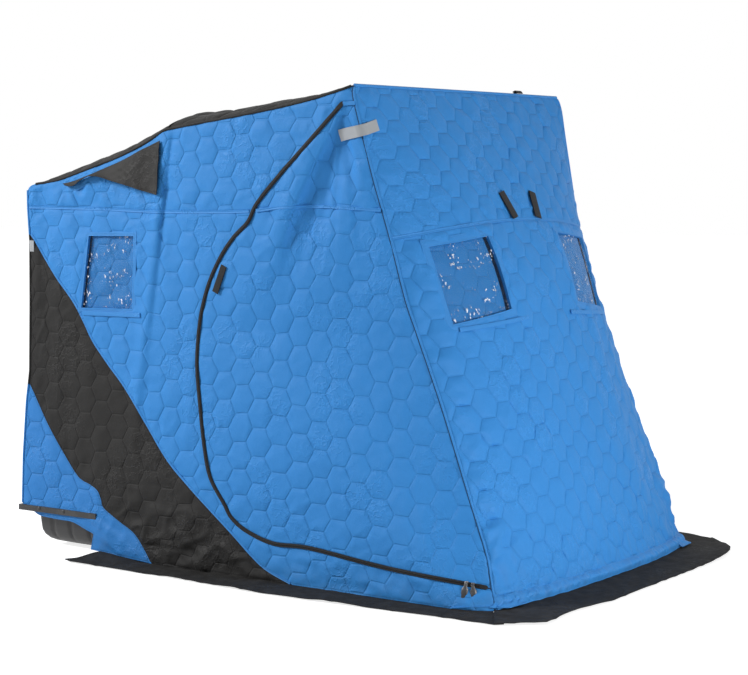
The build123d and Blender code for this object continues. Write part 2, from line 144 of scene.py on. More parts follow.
# ------------------------------------------------------------------ settings a user would change
class ShelterFabric(bpy.types.PropertyGroup):
    """Sizes and colours of the fabric body."""

    cell: FloatProperty(name="Quilt cell", description="Height of one hexagon between its flat sides",
                        default=0.111, min=0.04, max=0.3, unit="LENGTH")
    puff: FloatProperty(name="Quilt puff", description="How far a cell stands over its weld lines",
                        default=0.0046, min=0.0, max=0.02, unit="LENGTH")
    thickness: FloatProperty(name="Wall thickness", description="Outer face to lining",
                             default=0.010, min=0.002, max=0.03, unit="LENGTH")
    fineness: IntProperty(name="Fineness", description="Mesh steps along one side of a cell",
                          default=6, min=2, max=10)
    wrinkle: FloatProperty(name="Wrinkles", description="Share of full wrinkle height",
                           default=1.0, min=0.0, max=3.0, subtype="FACTOR")
    blue: FloatVectorProperty(name="Blue", description="Colour of the blue fabric", subtype="COLOR",
                              size=3, min=0.0, max=1.0, default=(0.034, 0.232, 0.605))
    charcoal: FloatVectorProperty(name="Charcoal", description="Colour of the dark panels and roof",
                                  subtype="COLOR", size=3, min=0.0, max=1.0, default=(0.0113, 0.0109, 0.0106))
    skirt: FloatVectorProperty(name="Skirt", description="Colour of the skirt", subtype="COLOR",
                               size=3, min=0.0, max=1.0, default=(0.020, 0.0195, 0.019))
    lining: FloatVectorProperty(name="Lining", description="Colour of the inner face", subtype="COLOR",
                                size=3, min=0.0, max=1.0, default=(0.10, 0.105, 0.11))


class ShelterTrim(bpy.types.PropertyGroup):
    """Sizes and colours of zips, seams, straps and patches."""

    zip_width: FloatProperty(name="Zip width", description="Across both tapes and the coil",
                             default=0.0150, min=0.005, max=0.05, unit="LENGTH")
    welt: FloatProperty(name="Seam welt width", description="Width of a felled seam", default=0.013,
                        min=0.004, max=0.04, unit="LENGTH")
    trim_black: FloatVectorProperty(name="Black trim", description="Colour of zips, straps and tabs",
                                    subtype="COLOR", size=3, min=0.0, max=1.0, default=(0.010, 0.010, 0.011))
    reflective: FloatVectorProperty(name="Reflective grey", description="Colour of the reflective patches",
                                    subtype="COLOR", size=3, min=0.0, max=1.0, default=(0.33, 0.35, 0.37))


class ShelterStage(bpy.types.PropertyGroup):
    """Light and floor around the shelter."""

    key: FloatProperty(name="Key light", description="Power of the large lamp", default=890.0,
                       min=0.0, unit="POWER")
    fill: FloatProperty(name="Sky light", description="Strength of the even light all round", default=0.40,
                        min=0.0)
    floor: FloatProperty(name="Floor glow", description="White that the floor shows to the camera",
                         default=0.78, min=0.0, max=1.0, subtype="FACTOR")


# ------------------------------------------------------------------ plain numbers
HASH = (374761393, 668265263, 974711, 1274126177)  # large odd numbers that scatter whole ones


def noise(x, y, seed=0):
    """Smooth noise from -1 to 1, about one bump to a unit; its corners' values are hashed whole numbers."""
    xi, yi = np.floor(x).astype(np.int64), np.floor(y).astype(np.int64)
    fx, fy = x - xi, y - yi
    fx, fy = fx * fx * (3 - 2 * fx), fy * fy * (3 - 2 * fy)

    def corner(i, j):
        n = ((xi + i) * HASH[0] + (yi + j) * HASH[1] + seed * HASH[2]) & 0x7FFFFFFF
        n = ((n ^ (n >> 13)) * HASH[3]) & 0x7FFFFFFF
        return ((n ^ (n >> 16)) & 0xFFFF) / 32767.5 - 1

    low = corner(0, 0) * (1 - fx) + corner(1, 0) * fx
    high = corner(0, 1) * (1 - fx) + corner(1, 1) * fx
    return low * (1 - fy) + high * fy


def ease(x, low, high):
    """0 below low, 1 above high and smooth between."""
    t = np.clip((x - low) / (high - low), 0, 1)
    return t * t * (3 - 2 * t)


def hump(x, middle, width):
    """A soft bump of height 1."""
    return np.exp(-(((x - middle) / width) ** 2))


def ridges(x, y, seed, sharp, floor):
    """Long narrow folds: crests of height 1 with flat troughs at floor."""
    return np.maximum(1 - sharp * np.abs(noise(x, y, seed)), floor)


def along(points, x):
    """The second column of points at x in the first, which rises."""
    points = np.array(points)
    return np.interp(x, points[:, 0], points[:, 1])


def smooth_line(points, step=0.010):
    """A smooth curve through points, sampled evenly."""
    p = np.array(points, float)
    p = np.vstack([2 * p[0] - p[1], p, 2 * p[-1] - p[-2]])
    pieces = []
    for i in range(1, len(p) - 2):
        a, b, c, d = p[i - 1:i + 3]
        k = max(2, math.ceil(np.linalg.norm(c - b) / 0.003))
        t = np.linspace(0, 1, k, endpoint=False)[:, None]
        pieces.append(0.5 * (2 * b + (c - a) * t + (2 * a - 5 * b + 4 * c - d) * t ** 2
                             + (3 * b - a - 3 * c + d) * t ** 3))
    return even(np.vstack(pieces + [p[-2][None]]), step)


def even(line, step=0.010, closed=False):
    """The line again with points about step apart."""
    line = np.array(line, float)
    if closed:
        line = np.vstack([line, line[0]])
    run = np.concatenate([[0], np.cumsum(np.linalg.norm(np.diff(line, axis=0), axis=1))])
    count = max(2, int(round(run[-1] / step)) + 1)
    at = np.linspace(0, run[-1], count)
    out = np.stack([np.interp(at, run, line[:, k]) for k in range(line.shape[1])], axis=1)
    return out[:-1] if closed else out


def resampled(rows, count):
    """The rows spread evenly over count places."""
    now, wanted = np.linspace(0, 1, len(rows)), np.linspace(0, 1, count)
    return np.stack([np.interp(wanted, now, column) for column in np.asarray(rows).T], axis=1)


def polygon(points, step=0.010):
    """A closed outline with straight sides, its corners kept, sampled evenly."""
    points = [np.array(p, float) for p in points]
    sides = []
    for a, b in zip(points, points[1:] + points[:1]):
        k = max(1, int(round(np.linalg.norm(b - a) / step)))
        sides.append(a + (b - a) * np.linspace(0, 1, k, endpoint=False)[:, None])
    return np.vstack(sides)


def joined(*runs):
    """Open runs of points joined to one outline without doubled points."""
    out = [np.array(runs[0], float)]
    for run in runs[1:]:
        run = np.array(run, float)
        if np.linalg.norm(out[-1][-1] - run[0]) < 1e-6:
            run = run[1:]
        out.append(run)
    line = np.vstack(out)
    if np.linalg.norm(line[0] - line[-1]) < 1e-6:
        line = line[:-1]
    return line


def inside(points, outline):
    """Which points lie inside a closed outline."""
    x, y = points[:, 0][:, None], points[:, 1][:, None]
    ax, ay = outline[:, 0][None], outline[:, 1][None]
    bx, by = np.roll(outline[:, 0], -1)[None], np.roll(outline[:, 1], -1)[None]
    with np.errstate(divide="ignore", invalid="ignore"):
        cross = ax + (y - ay) * (bx - ax) / (by - ay)
    hits = ((ay > y) != (by > y)) & (x < cross)
    return hits.sum(1) % 2 == 1


def edge_distance(points, outline):
    """Distance from each point to a closed outline."""
    a = outline
    d = np.roll(outline, -1, axis=0) - a
    best = np.full(len(points), 1e9)
    size = np.maximum((d ** 2).sum(1), 1e-12)
    for start in range(0, len(points), 4000):
        p = points[start:start + 4000][:, None]
        t = np.clip(((p - a[None]) * d[None]).sum(2) / size[None], 0, 1)
        gap = p - (a[None] + t[..., None] * d[None])
        best[start:start + 4000] = np.sqrt((gap ** 2).sum(2).min(1))
    return best


def cells(s, t, size):
    """Distance to the nearest side of a flat-topped hexagon, and the cell's two numbers."""
    side = size / math.sqrt(3)
    best, found = np.full(s.shape, 1e9), None
    ci, cj = np.zeros(s.shape), np.zeros(s.shape)
    first = np.floor(s / (1.5 * side))
    for step in (0, 1):
        i = first + step
        half = 0.5 * (np.mod(i, 2))
        j = np.round(t / size - half)
        cx, cy = 1.5 * side * i, size * (j + half)
        away = (s - cx) ** 2 + (t - cy) ** 2
        near = away < best
        best = np.where(near, away, best)
        ci, cj = np.where(near, i, ci), np.where(near, j, cj)
    half = 0.5 * np.mod(ci, 2)
    dx, dy = s - 1.5 * side * ci, t - size * (cj + half)
    reach = np.maximum.reduce([abs(dy), abs(dy * 0.5 + dx * math.sqrt(3) / 2),
                               abs(dy * 0.5 - dx * math.sqrt(3) / 2)])
    return np.maximum(size / 2 - reach, 0), ci, cj


# ------------------------------------------------------------------ the body's surfaces
def half_width(z):
    """The side panels' outer half width at height z."""
    return BASE_HALF - (BASE_HALF - TOP_HALF) * z / TOP


def corner_table():
    """The corner seam, smooth between its rows: side panel height, X and inward pull, and the true seam."""
    rows = []
    for x, half, z in CORNER:
        pull = half_width(z) - half
        for _ in range(3):
            share = pull / (-half - LEAN_TO[1])
            px, pz = x - (x - LEAN_TO[0]) * share, z - (z - LEAN_TO[2]) * share
            pull = half_width(pz) - half
        rows.append((pz, px, pull, x, half, z))
    fine = smooth_line(rows, 0.012)
    return fine[np.argsort(fine[:, 0])]


CORNERS = corner_table()


def corner_at(z, column):
    """A column of the corner table at side panel height z."""
    return np.interp(z, CORNERS[:, 0], CORNERS[:, column])


def seam_at(z, column):
    """X (3) or half width (4) of the true corner seam at height z."""
    return np.interp(z, CORNERS[:, 5], CORNERS[:, column])


def side_point(x, z, hand):
    """Right (hand -1) or left (hand 1) side panel: X and height on the flat panel to true points."""
    pull = corner_at(z, 2)
    bow_line = PIVOT[0] + (z - PIVOT[1]) * 0.672  # the wall is flat behind the leaning front bow
    front = corner_at(z, 1)
    reach = np.minimum(front - bow_line, 0.22 + 0.75 * np.maximum(z, 0))
    share = np.clip(1 - (front - x) / np.maximum(reach, 0.05), 0, 1.3)
    inward = pull * share ** np.interp(z, [0.0, 0.8, 1.4], [1.7, 1.25, 1.0])
    inward = inward + slack(x, z)
    y = -half_width(z)
    t = inward / (y - LEAN_TO[1])
    px = x + (x - LEAN_TO[0]) * t + along(REAR_PULL, z) * ease(-x, 1.10, 1.30)
    py = y + inward
    pz = np.maximum(z + (z - LEAN_TO[2]) * t, FOOT * np.minimum(1, np.maximum(z, 0) / FOOT))
    return np.stack([px, -hand * py, pz], axis=-1)


def slack(x, z):
    """Inward set of the loose cloth between the bows, and its long folds."""
    loose = hump(x, -0.92, 0.34) * hump(z, 1.60, 0.24) * 0.020
    middle = hump(x, -0.75, 0.50) * hump(z, 0.95, 0.45) * 0.012
    bow = PIVOT[0] + (z - PIVOT[1]) * 0.133  # the middle bow presses the cloth out here
    over = hump(x, bow, 0.030)
    pinch = hump(x, bow + 0.042, 0.014) * 0.0055 - over * 0.003
    pinch = pinch * ease(z, 0.85, 1.35) * (1 - ease(z, 1.74, 1.80))
    drape = 0.0050 * noise(x * 10 + 2 * z, z * 2.0, 5) * (1 - ease(x, -0.5, -0.1)) * ease(z, 0.7, 1.2)
    lean = 0.0045 * noise((x + 0.45 * z) * 11, z * 1.7, 9) * hump(x, -1.0, 0.35) * ease(z, 0.95, 1.25)
    down, back = 1.93 - z, 0.46 - x  # from the peak, where the folds fan out
    fan = 0.006 * noise(np.arctan2(down, back) * 7, np.hypot(down, back) * 1.3, 13)
    fan = fan * ease(x, -0.25, 0.1) * ease(z, 0.8, 1.3)
    fold = along(DOOR_FOLD, z)
    fan = fan - 0.007 * hump(x, fold - 0.045, 0.045) * ease(z, 1.10, 1.40)
    step = 0.034 * (1 - np.exp(-np.maximum(x - fold, 0) / 0.050)) * (1 - ease(x, fold + 0.08, fold + 0.30))
    seam = corner_at(z, 1)
    step = step * ease(z, 1.16, 1.55) * (1 - ease(x, seam - 0.10, seam - 0.015))
    base = 0.006 * noise(x * 5, z * 5, 3) * (1 - ease(z, 0.25, 0.8)) + fan
    held = ease(x, -1.305, -1.20) * (1 - ease(x, seam - 0.30, seam - 0.05))
    hanging = (loose + middle + drape + lean + base) * (1 - 0.85 * over * ease(z, 0.3, 0.5))
    return (hanging + pinch) * held + step


def front_point(u, t):
    """Front wall: u across, from -1 at the right corner to 1 at the left, and t up its slope."""
    z = np.interp(t, FRONT_T[:, 1], FRONT_T[:, 0])
    half = seam_at(z, 4)
    y = u * half
    middle = along(FRONT_MIDDLE, z)
    for reach in (0.05, 0.10):
        low = along(FRONT_MIDDLE, z - reach)
        high = along(FRONT_MIDDLE, z + reach)
        near = hump(z, 1.25, 0.12)
        middle = middle * (1 - 0.45 * near) + (low + high) / 2 * 0.45 * near
    edge = seam_at(z, 3)
    x = middle - (middle - edge) * np.abs(u) ** 3.1
    flat = np.abs(u) < 0.95
    x = x + np.where(flat, 0.003, 0) * noise(u * 3, t * 3, 21) * (1 - np.abs(u) ** 4)
    return np.stack([x, y, z], axis=-1)


def front_lengths():
    """Height against length up the front wall's middle."""
    z = np.linspace(0, 1.96, 99)
    x = along(FRONT_MIDDLE, z)
    run = np.concatenate([[0], np.cumsum(np.hypot(np.diff(z), np.diff(x)))])
    return np.stack([z, run], axis=1)


FRONT_T = front_lengths()
FRONT_WIDE = 0.76  # half width of the front wall's pattern


def front_line(us, heights):
    """Places on the front wall, given as share of its half width and height, in its pattern."""
    us, heights = np.broadcast_arrays(us, heights)
    return np.stack([us * FRONT_WIDE, np.interp(heights, FRONT_T[:, 0], FRONT_T[:, 1])], axis=1)


def front_flat(points):
    """Places on the front wall, given as Y and height, in its pattern."""
    y, z = np.array(points, float).T
    return front_line(y / seam_at(z, 4), z)


def front_surface(a, b):
    """Front wall from its flat pattern."""
    return front_point(a / FRONT_WIDE, b)


def rear_surface(y, z):
    """Rear wall: across and height."""
    lean = 0.030 * (REAR_TOP - z) / (REAR_TOP - 0.160)
    belly = 0.004 * np.cos(y * 1.7) * hump(z, 0.9, 0.5) + 0.003 * noise(y * 4, z * 3, 31)
    pull = along(REAR_PULL, z) * ease(np.abs(y), 0.45, 0.80)
    x = REAR - np.clip(lean, 0, 0.033) + 0.004 + pull - belly * (np.abs(y) < 0.8)
    return np.stack([x, y, z], axis=-1)


def eave_table():
    """The side panels' top edge where it really runs: X, half width, height."""
    line = smooth_line(EAVE, 0.02)
    return side_point(line[:, 0], line[:, 1], -1)


EAVE_LINE = eave_table()


def roof_surface(x, y):
    """Roof: length, and width as a share of the half width times its largest."""
    edge = np.interp(x, EAVE_LINE[:, 0], EAVE_LINE[:, 2])
    half = np.interp(x, EAVE_LINE[:, 0], -EAVE_LINE[:, 1])
    line = np.interp(x, [REAR, KINK, PEAK], [REAR_TOP + 0.006, KINK_TOP + 0.004, TOP - 0.002])
    crown = 0.040 * np.interp(x, [REAR, KINK, PEAK], [0, 1, 0]) ** 0.8
    w = y / TOP_HALF
    away = np.clip(np.abs(w), 0, 1)
    z = edge + np.maximum(line - edge, 0) * (1 - away ** 6) + crown * (1 - away ** 3)
    full = (0.017 - 0.007 * ease(x, KINK, PEAK)) * (1 - away ** 26)
    z = z + full * ease(x, REAR, REAR + 0.12) * (1 - ease(x, PEAK - 0.10, PEAK))
    z = z + 0.012 * hump(x, -0.465, 0.045) * (1 - away ** 14)  # where the middle bow lifts it
    z = z + 0.004 * noise(x * 5, y * 4, 41) * (1 - away ** 4)
    return np.stack([x, w * half, z], axis=-1)


def normals(surface, a, b, step=0.002):
    """Unit normals of a surface, by small steps."""
    du = surface(a + step, b) - surface(a - step, b)
    dv = surface(a, b + step) - surface(a, b - step)
    n = np.cross(du, dv)
    return n / np.maximum(np.linalg.norm(n, axis=1, keepdims=True), 1e-12)


def on(surface, points, out=1, lift=0.0):
    """Places on a surface and their outward normals; lift is how far they stand over it."""
    p = np.asarray(points, float)
    n = normals(surface, p[:, 0], p[:, 1]) * out
    return surface(p[:, 0], p[:, 1]) + n * lift, n


# side's name, its hand, its surface and whether that surface's normal points out
SIDES = [("right", -1, partial(side_point, hand=-1), 1), ("left", 1, partial(side_point, hand=1), -1)]


# ------------------------------------------------------------------ meshes
def settings():
    """The three groups of settings."""
    scene = bpy.context.scene
    return scene.shelter_fabric, scene.shelter_trim, scene.shelter_stage


def make(name, points, faces, paints, slots=None, flat=None, layers=None, crease=50, tidy=False):
    """A smooth mesh object; flat is the points' pattern places and layers are values per point."""
    mesh = bpy.data.meshes.new(name)
    mesh.from_pydata(np.asarray(points, float).tolist(), [], faces)
    for paint in paints:
        mesh.materials.append(paint)
    if tidy:
        work = bmesh.new()
        work.from_mesh(mesh)
        bmesh.ops.recalc_face_normals(work, faces=work.faces)
        work.to_mesh(mesh)
        work.free()
    mesh.polygons.foreach_set("use_smooth", [True] * len(mesh.polygons))
    if slots is not None:
        mesh.polygons.foreach_set("material_index", np.asarray(slots, np.int32))
    if flat is not None:
        corner = np.empty(len(mesh.loops), np.int32)
        mesh.loops.foreach_get("vertex_index", corner)
        mesh.uv_layers.new(name="pattern").data.foreach_set("uv", flat[corner].astype(np.float32).ravel())
    for key, values in (layers or {}).items():
        mesh.attributes.new(key, "FLOAT", "POINT").data.foreach_set("value", values.astype(np.float32))
    mesh.set_sharp_from_angle(angle=math.radians(crease))
    mesh.update()
    return stand(name, mesh)


def stand(name, data):
    """An object of this data, in the scene."""
    thing = bpy.data.objects.new(name, data)
    bpy.context.scene.collection.objects.link(thing)
    return thing


def turned(loop, way):
    """The loop run anticlockwise (1) or clockwise (-1)."""
    after = np.roll(loop, -1, axis=0)
    area = (loop[:, 0] * after[:, 1] - after[:, 0] * loop[:, 1]).sum()
    return loop if area * way > 0 else loop[::-1]


def within(points, loops):
    """Which points lie in the first loop and outside the others."""
    keep = np.zeros(len(points), bool)
    for start in range(0, len(points), 3000):
        part = points[start:start + 3000]
        ok = inside(part, loops[0])
        for hole in loops[1:]:
            ok &= ~inside(part, hole)
        keep[start:start + 3000] = ok
    return keep


def rim_distance(points, loops):
    """Distance to the nearest of the loops."""
    return np.minimum.reduce([edge_distance(points, loop) for loop in loops])


def regions(tri, links, count):
    """A label for each triangle, the same for all that no linked edge parts."""
    edges = np.sort(np.concatenate([tri[:, [0, 1]], tri[:, [1, 2]], tri[:, [2, 0]]]), axis=1)
    key = edges[:, 0] * count + edges[:, 1]
    owner = np.tile(np.arange(len(tri)), 3)
    order = np.argsort(key, kind="stable")
    key, owner = key[order], owner[order]
    walls = np.sort(np.array(links), axis=1)
    same = (key[1:] == key[:-1]) & ~np.isin(key[1:], walls[:, 0] * count + walls[:, 1])
    one, two = owner[:-1][same], owner[1:][same]
    label = np.arange(len(tri))
    while True:
        low = np.minimum(label[one], label[two])
        after = label.copy()
        np.minimum.at(after, one, low)
        np.minimum.at(after, two, low)
        after = after[after]
        if (after == label).all():
            return label
        label = after


def mesh_flat(loops, step, drift):
    """Points and triangles that fill the loops, on a lattice that follows the quilt's cells."""
    edge = np.vstack(loops)
    low, high = edge.min(0) - 0.02, edge.max(0) + 0.02
    row = step * math.sqrt(3) / 2
    j = np.arange(math.floor(low[1] / row), math.ceil(high[1] / row) + 1)
    i = np.arange(math.floor(low[0] / step) - 1, math.ceil(high[0] / step) + 1)
    grid = np.stack([(i[None] + 0.5 * np.mod(j, 2)[:, None]) * step, np.repeat(j[:, None] * row, len(i), 1)],
                    axis=-1).reshape(-1, 2)
    grid = grid + drift(grid)
    grid = grid[((grid > low) & (grid < high)).all(1)]
    grid = grid[within(grid, loops)]
    grid = grid[rim_distance(grid, loops) > 0.5 * step]
    fence = np.array([low - 1, (high[0] + 1, low[1] - 1), high + 1, (low[0] - 1, high[1] + 1)])
    flat = np.vstack([edge, grid, fence])
    links, start = [], 0
    for loop in loops:
        count = len(loop)
        links += [(start + k, start + (k + 1) % count) for k in range(count)]
        start += count
    found = delaunay_2d_cdt([Vector(p) for p in flat.tolist()], links, [], 0, 1e-8)
    if any(not source for source in found[3]):
        raise RuntimeError("a panel's outline crosses itself")
    source = np.array([each[0] for each in found[3]])
    tri = source[np.array(found[2])]
    a, b, c = flat[tri[:, 0]], flat[tri[:, 1]], flat[tri[:, 2]]
    turn = (b[:, 0] - a[:, 0]) * (c[:, 1] - a[:, 1]) - (b[:, 1] - a[:, 1]) * (c[:, 0] - a[:, 0])
    tri = np.where((turn > 0)[:, None], tri, tri[:, ::-1])
    region = regions(tri, links, len(flat))
    keep = np.zeros(len(tri), bool)
    for label in np.unique(region):
        members = np.flatnonzero(region == label)
        widest = members[np.argmax(np.abs(turn[members]))]
        keep[members] = within(flat[tri[widest]].mean(0)[None], loops)[0]
    return flat[:-len(fence)], tri[keep], links


def panel(name, outline, surface, paints, slot, stands_for=(), body="shelter", out=1, holes=(), cell=0.0,
          step=0.0107, thick=0.010, lift=0.0, puff=0.0, wrinkle=1.0, seed=1, shape=None, plain=None, coarse=3,
          rough=0.5):
    """Cloth cut to an outline and laid over a surface: its face, its lining and its cut edges.

    out is 1 where the surface's normal points out. cell is the height of its quilt's hexagons, or 0 for
    cloth that isn't quilted. shape adds height and plain takes the quilting away, both worked out at the
    pattern's points. coarse is how much wider the lining's mesh is, and rough how much its edges pucker.
    """
    loops = [turned(np.asarray(outline, float), 1)] + [turned(np.asarray(hole, float), -1) for hole in holes]

    def drift(p):
        if not cell:
            return np.zeros_like(p)
        return 0.015 * np.stack([noise(p[:, 0] * 4, p[:, 1] * 4, each) for each in (seed, seed + 7)], axis=1)

    top, tri, links = mesh_flat(loops, step, drift)
    base, low_tri, _ = mesh_flat(loops, step * coarse, drift)
    rim = rim_distance(top, loops)
    x, y = top[:, 0], top[:, 1]
    near = 1 - np.exp(-rim / 0.012)  # flat at its cut edges
    if cell:
        pattern = top - drift(top)
        gap, i, j = cells(pattern[:, 0], pattern[:, 1], cell)
        if plain is not None:
            gap = gap + plain(top) * cell
        # each cell rises steeply by its weld line, then gently, and some cells are fuller than others
        rise = 0.66 * (1 - np.exp(-gap / 0.008)) + 0.34 * np.clip(gap / (cell / 2), 0, 1)
        rise = rise * (1 + 0.35 * noise(i * 1.7 + 0.3, j * 1.3 + 0.6, seed))
        pucker = 0.0014 * noise(x * 42, y * 42, seed + 2) * np.exp(-gap / 0.014)
        pucker = pucker + 0.0018 * noise(x * 19 + 3, y * 24, seed + 4)
        turn = 1.2 * noise(i * 0.9, j * 0.9, seed + 3) + 0.9  # way that a cell's crease runs
        run, side_way = x * np.cos(turn) + y * np.sin(turn), y * np.cos(turn) - x * np.sin(turn)
        ridge = ridges(side_way * 17, run * 6, seed + 6, 3.2, 0)
        pucker = pucker + 0.0024 * ridge * ease(noise(x * 3.1, y * 3.1, seed + 8), -0.1, 0.5)
    else:
        gap, rise = np.ones(len(top)), 1.0
        pucker = 0.0008 * noise(x * 24, y * 24, seed + 2)
    pull = noise(x * 15, y * 15, seed + 5) + 0.8 * noise(x * 34, y * 34, seed + 9)
    pull = pull * np.exp(-rim / 0.05) * 0.0026
    height = puff * rise + wrinkle * (pucker + pull * rough * 2)
    if shape is not None:
        height = height + shape(top)
    face, n = on(surface, top, out)
    face = face + n * (lift + near * height)[:, None]
    back, m = on(surface, base, out)
    back = back + m * (lift - thick)
    count = len(top)
    wall = [(b, a, count + a, count + b) for a, b in links]
    faces = tri.tolist() + (low_tri[:, ::-1] + count).tolist() + wall
    if out < 0:
        faces = [corners[::-1] for corners in faces]
    slots = [0] * len(tri) + [min(1, len(paints) - 1)] * len(low_tri) + [0] * len(wall)
    layers = {"quilt": np.concatenate([gap, np.ones(len(base))]),
              "seam": np.concatenate([rim, np.full(len(base), 0.2)])}
    piece = make(name, np.vstack([face, back]), faces, paints, slots, np.vstack([top, base]), layers)
    piece["quilted"] = bool(cell)
    return place(piece, body, stands_for)


def quilt(puff=1.0, wrinkle=1.0):
    """What the quilted panels share, with shares of the settings' puff and wrinkles."""
    fabric = settings()[0]
    return dict(cell=fabric.cell, step=fabric.cell / math.sqrt(3) / fabric.fineness, thick=fabric.thickness,
                puff=fabric.puff * puff, wrinkle=fabric.wrinkle * wrinkle)


def tube_faces(rows, count):
    """The faces between rings of count points, and the two ends."""
    faces = []
    for a in range(0, (rows - 1) * count, count):
        for j in range(count):
            k = (j + 1) % count
            faces.append((a + j, a + k, a + count + k, a + count + j))
    last = (rows - 1) * count
    return faces + [tuple(range(count))[::-1], tuple(range(last, last + count))]


def ribbon(name, path, ups, section, paints, swell=None):
    """A strip or cord with one section, given as (across, up), all along a path."""
    path, ups, section = (np.asarray(v, float) for v in (path, ups, section))
    ahead = np.gradient(path, axis=0)
    ahead = ahead / np.linalg.norm(ahead, axis=1, keepdims=True)
    across = np.cross(ahead, ups)
    across = across / np.linalg.norm(across, axis=1, keepdims=True)
    ups = np.cross(across, ahead)
    size = np.ones(len(path)) if swell is None else np.asarray(swell, float)
    around = across[:, None] * section[None, :, :1] + ups[:, None] * section[None, :, 1:]
    rings = path[:, None] + around * size[:, None, None]
    k, rows = len(section), len(path)
    faces = tube_faces(rows, k)
    run = np.concatenate([[0], np.cumsum(np.linalg.norm(np.diff(path, axis=0), axis=1))])
    flat = np.stack([np.repeat(run[:, None], k, 1), np.repeat(section[None, :, 0], rows, 0)], axis=-1)
    layers = {"quilt": np.ones(rows * k), "seam": np.full(rows * k, 0.2)}
    return make(name, rings.reshape(-1, 3), faces, paints, flat=flat.reshape(-1, 2), layers=layers, crease=40,
                tidy=True)


def thin_sheet(name, top, under, count, flat, rim, paint):
    """Single cloth from two grids of points, count to a row, closed all round its edge."""
    total = len(top)
    faces = []
    for row in range(0, total - count, count):
        for a in range(row, row + count - 1):
            quad = (a, a + 1, a + count + 1, a + count)
            faces += [quad, tuple(total + i for i in quad[::-1])]
    ring = [*range(count), *range(2 * count - 1, total, count), *range(total - 2, total - count - 1, -1),
            *range(total - 2 * count, 0, -count)]
    faces += [(a, b, total + b, total + a) for a, b in zip(ring, ring[1:] + ring[:1])]
    layers = {"quilt": np.ones(2 * total), "seam": np.concatenate([rim, rim])}
    return make(name, np.vstack([top, under]), faces, [paint], flat=np.vstack([flat, flat]), layers=layers,
                tidy=True)


def strap(width, thick, rise=0.0):
    """A flat strap's section, its top edges eased."""
    w, c = width / 2, min(thick * 0.4, width * 0.2)
    return [(-w, -0.001), (-w, thick - c), (-w + c, thick), (0, thick + rise), (w - c, thick), (w, thick - c),
            (w, -0.001), (0, -0.001)]


def cord_section(radius, count=10):
    """A round section."""
    return [(radius * math.cos(2 * math.pi * k / count), radius * math.sin(2 * math.pi * k / count))
            for k in range(count)]


def place(piece, body="shelter", stands_for=()):
    """Let a finished piece ride on its body's empty, or bake it in place where that body turns on a joint."""
    joint = next((j for j in frame["joints"] if j["child"] == body), None)
    if joint:
        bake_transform(piece)
    else:
        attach(piece, body)
    if stands_for:
        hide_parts(*stands_for)
    return piece


def sew(name, surface, out, line, lift, section, paint, body="shelter", stands_for=(),
        swell=None):
    """A strip or cord sewn along a line on a surface, and placed on its body."""
    path, ups = on(surface, line, out, lift)
    return lay(name, path, ups, section, paint, body, stands_for, swell)


def lay(name, path, ups, section, paint, body="shelter", stands_for=(), swell=None):
    """A strip or cord along a path; ups holds one upward direction, or one for each point."""
    ups = np.broadcast_to(ups, (len(path), 3))
    return place(ribbon(name, path, ups, section, [paint], swell), body, stands_for)


def grown(corners, amount):
    """A polygon with straight sides grown all round by amount."""
    p = turned(np.array(corners, float), 1)
    out = []
    for a, b, c in zip(np.roll(p, 1, axis=0), p, np.roll(p, -1, axis=0)):
        u, v = (b - a) / np.linalg.norm(b - a), (c - b) / np.linalg.norm(c - b)
        n, m = np.array([u[1], -u[0]]), np.array([v[1], -v[0]])
        out.append(b + (n + m) / (1 + n @ m) * amount)
    return out


def shifted(line, amount):
    """An open line moved sideways, to the left of its run."""
    run = np.gradient(np.asarray(line, float), axis=0)
    run = run / np.linalg.norm(run, axis=1, keepdims=True)
    return line + np.stack([-run[:, 1], run[:, 0]], axis=1) * amount


# ------------------------------------------------------------------ materials
class Nodes:
    """Adds nodes to a tree and links them."""

    def __init__(self, tree):
        self.tree = tree
        self.count = 0

    def add(self, kind, inputs=None, **values):
        node = self.tree.nodes.new(kind if kind.startswith("Node") else "ShaderNode" + kind)
        node.location = (220 * (self.count % 8), -260 * (self.count // 8))
        self.count += 1
        for key, value in values.items():
            setattr(node, key, value)
        for key, value in (inputs or {}).items():
            if isinstance(value, bpy.types.NodeSocket):
                self.tree.links.new(value, node.inputs[key])
            else:
                node.inputs[key].default_value = value
        return node

    def link(self, value, socket):
        self.tree.links.new(value, socket)

    def group(self, tree, inputs):
        return self.add("Group", inputs, node_tree=tree)

    def bump(self, height, distance, strength=1.0, **normal):
        return self.add("Bump", {"Height": height, "Distance": distance, "Strength": strength,
                                 **normal}).outputs[0]

    def math(self, kind, a, b=0.0, clamp=False):
        return self.add("Math", {0: a, 1: b}, operation=kind, use_clamp=clamp).outputs[0]

    def times(self, a, b):
        return self.math("MULTIPLY", a, b)

    def range(self, value, low, high, to_low=0.0, to_high=1.0, kind="SMOOTHSTEP"):
        return self.add("MapRange", {"Value": value, "From Min": low, "From Max": high, "To Min": to_low,
                                     "To Max": to_high}, interpolation_type=kind).outputs["Result"]

    def mix(self, factor, a, b):
        return self.add("Mix", {0: factor, 6: a, 7: b}, data_type="RGBA").outputs[2]

    def seen(self):
        """1 for what the camera sees, straight or in a reflection, and 0 for light on other things."""
        path = self.add("LightPath").outputs
        return self.math("MAXIMUM", self.math("MAXIMUM", path["Is Camera Ray"], path["Is Glossy Ray"]),
                         path["Is Transmission Ray"])

    def noise(self, vector, scale, detail=2.0, rough=0.5):
        return self.add("TexNoise", {"Vector": vector, "Scale": scale, "Detail": detail,
                                     "Roughness": rough}).outputs[0]


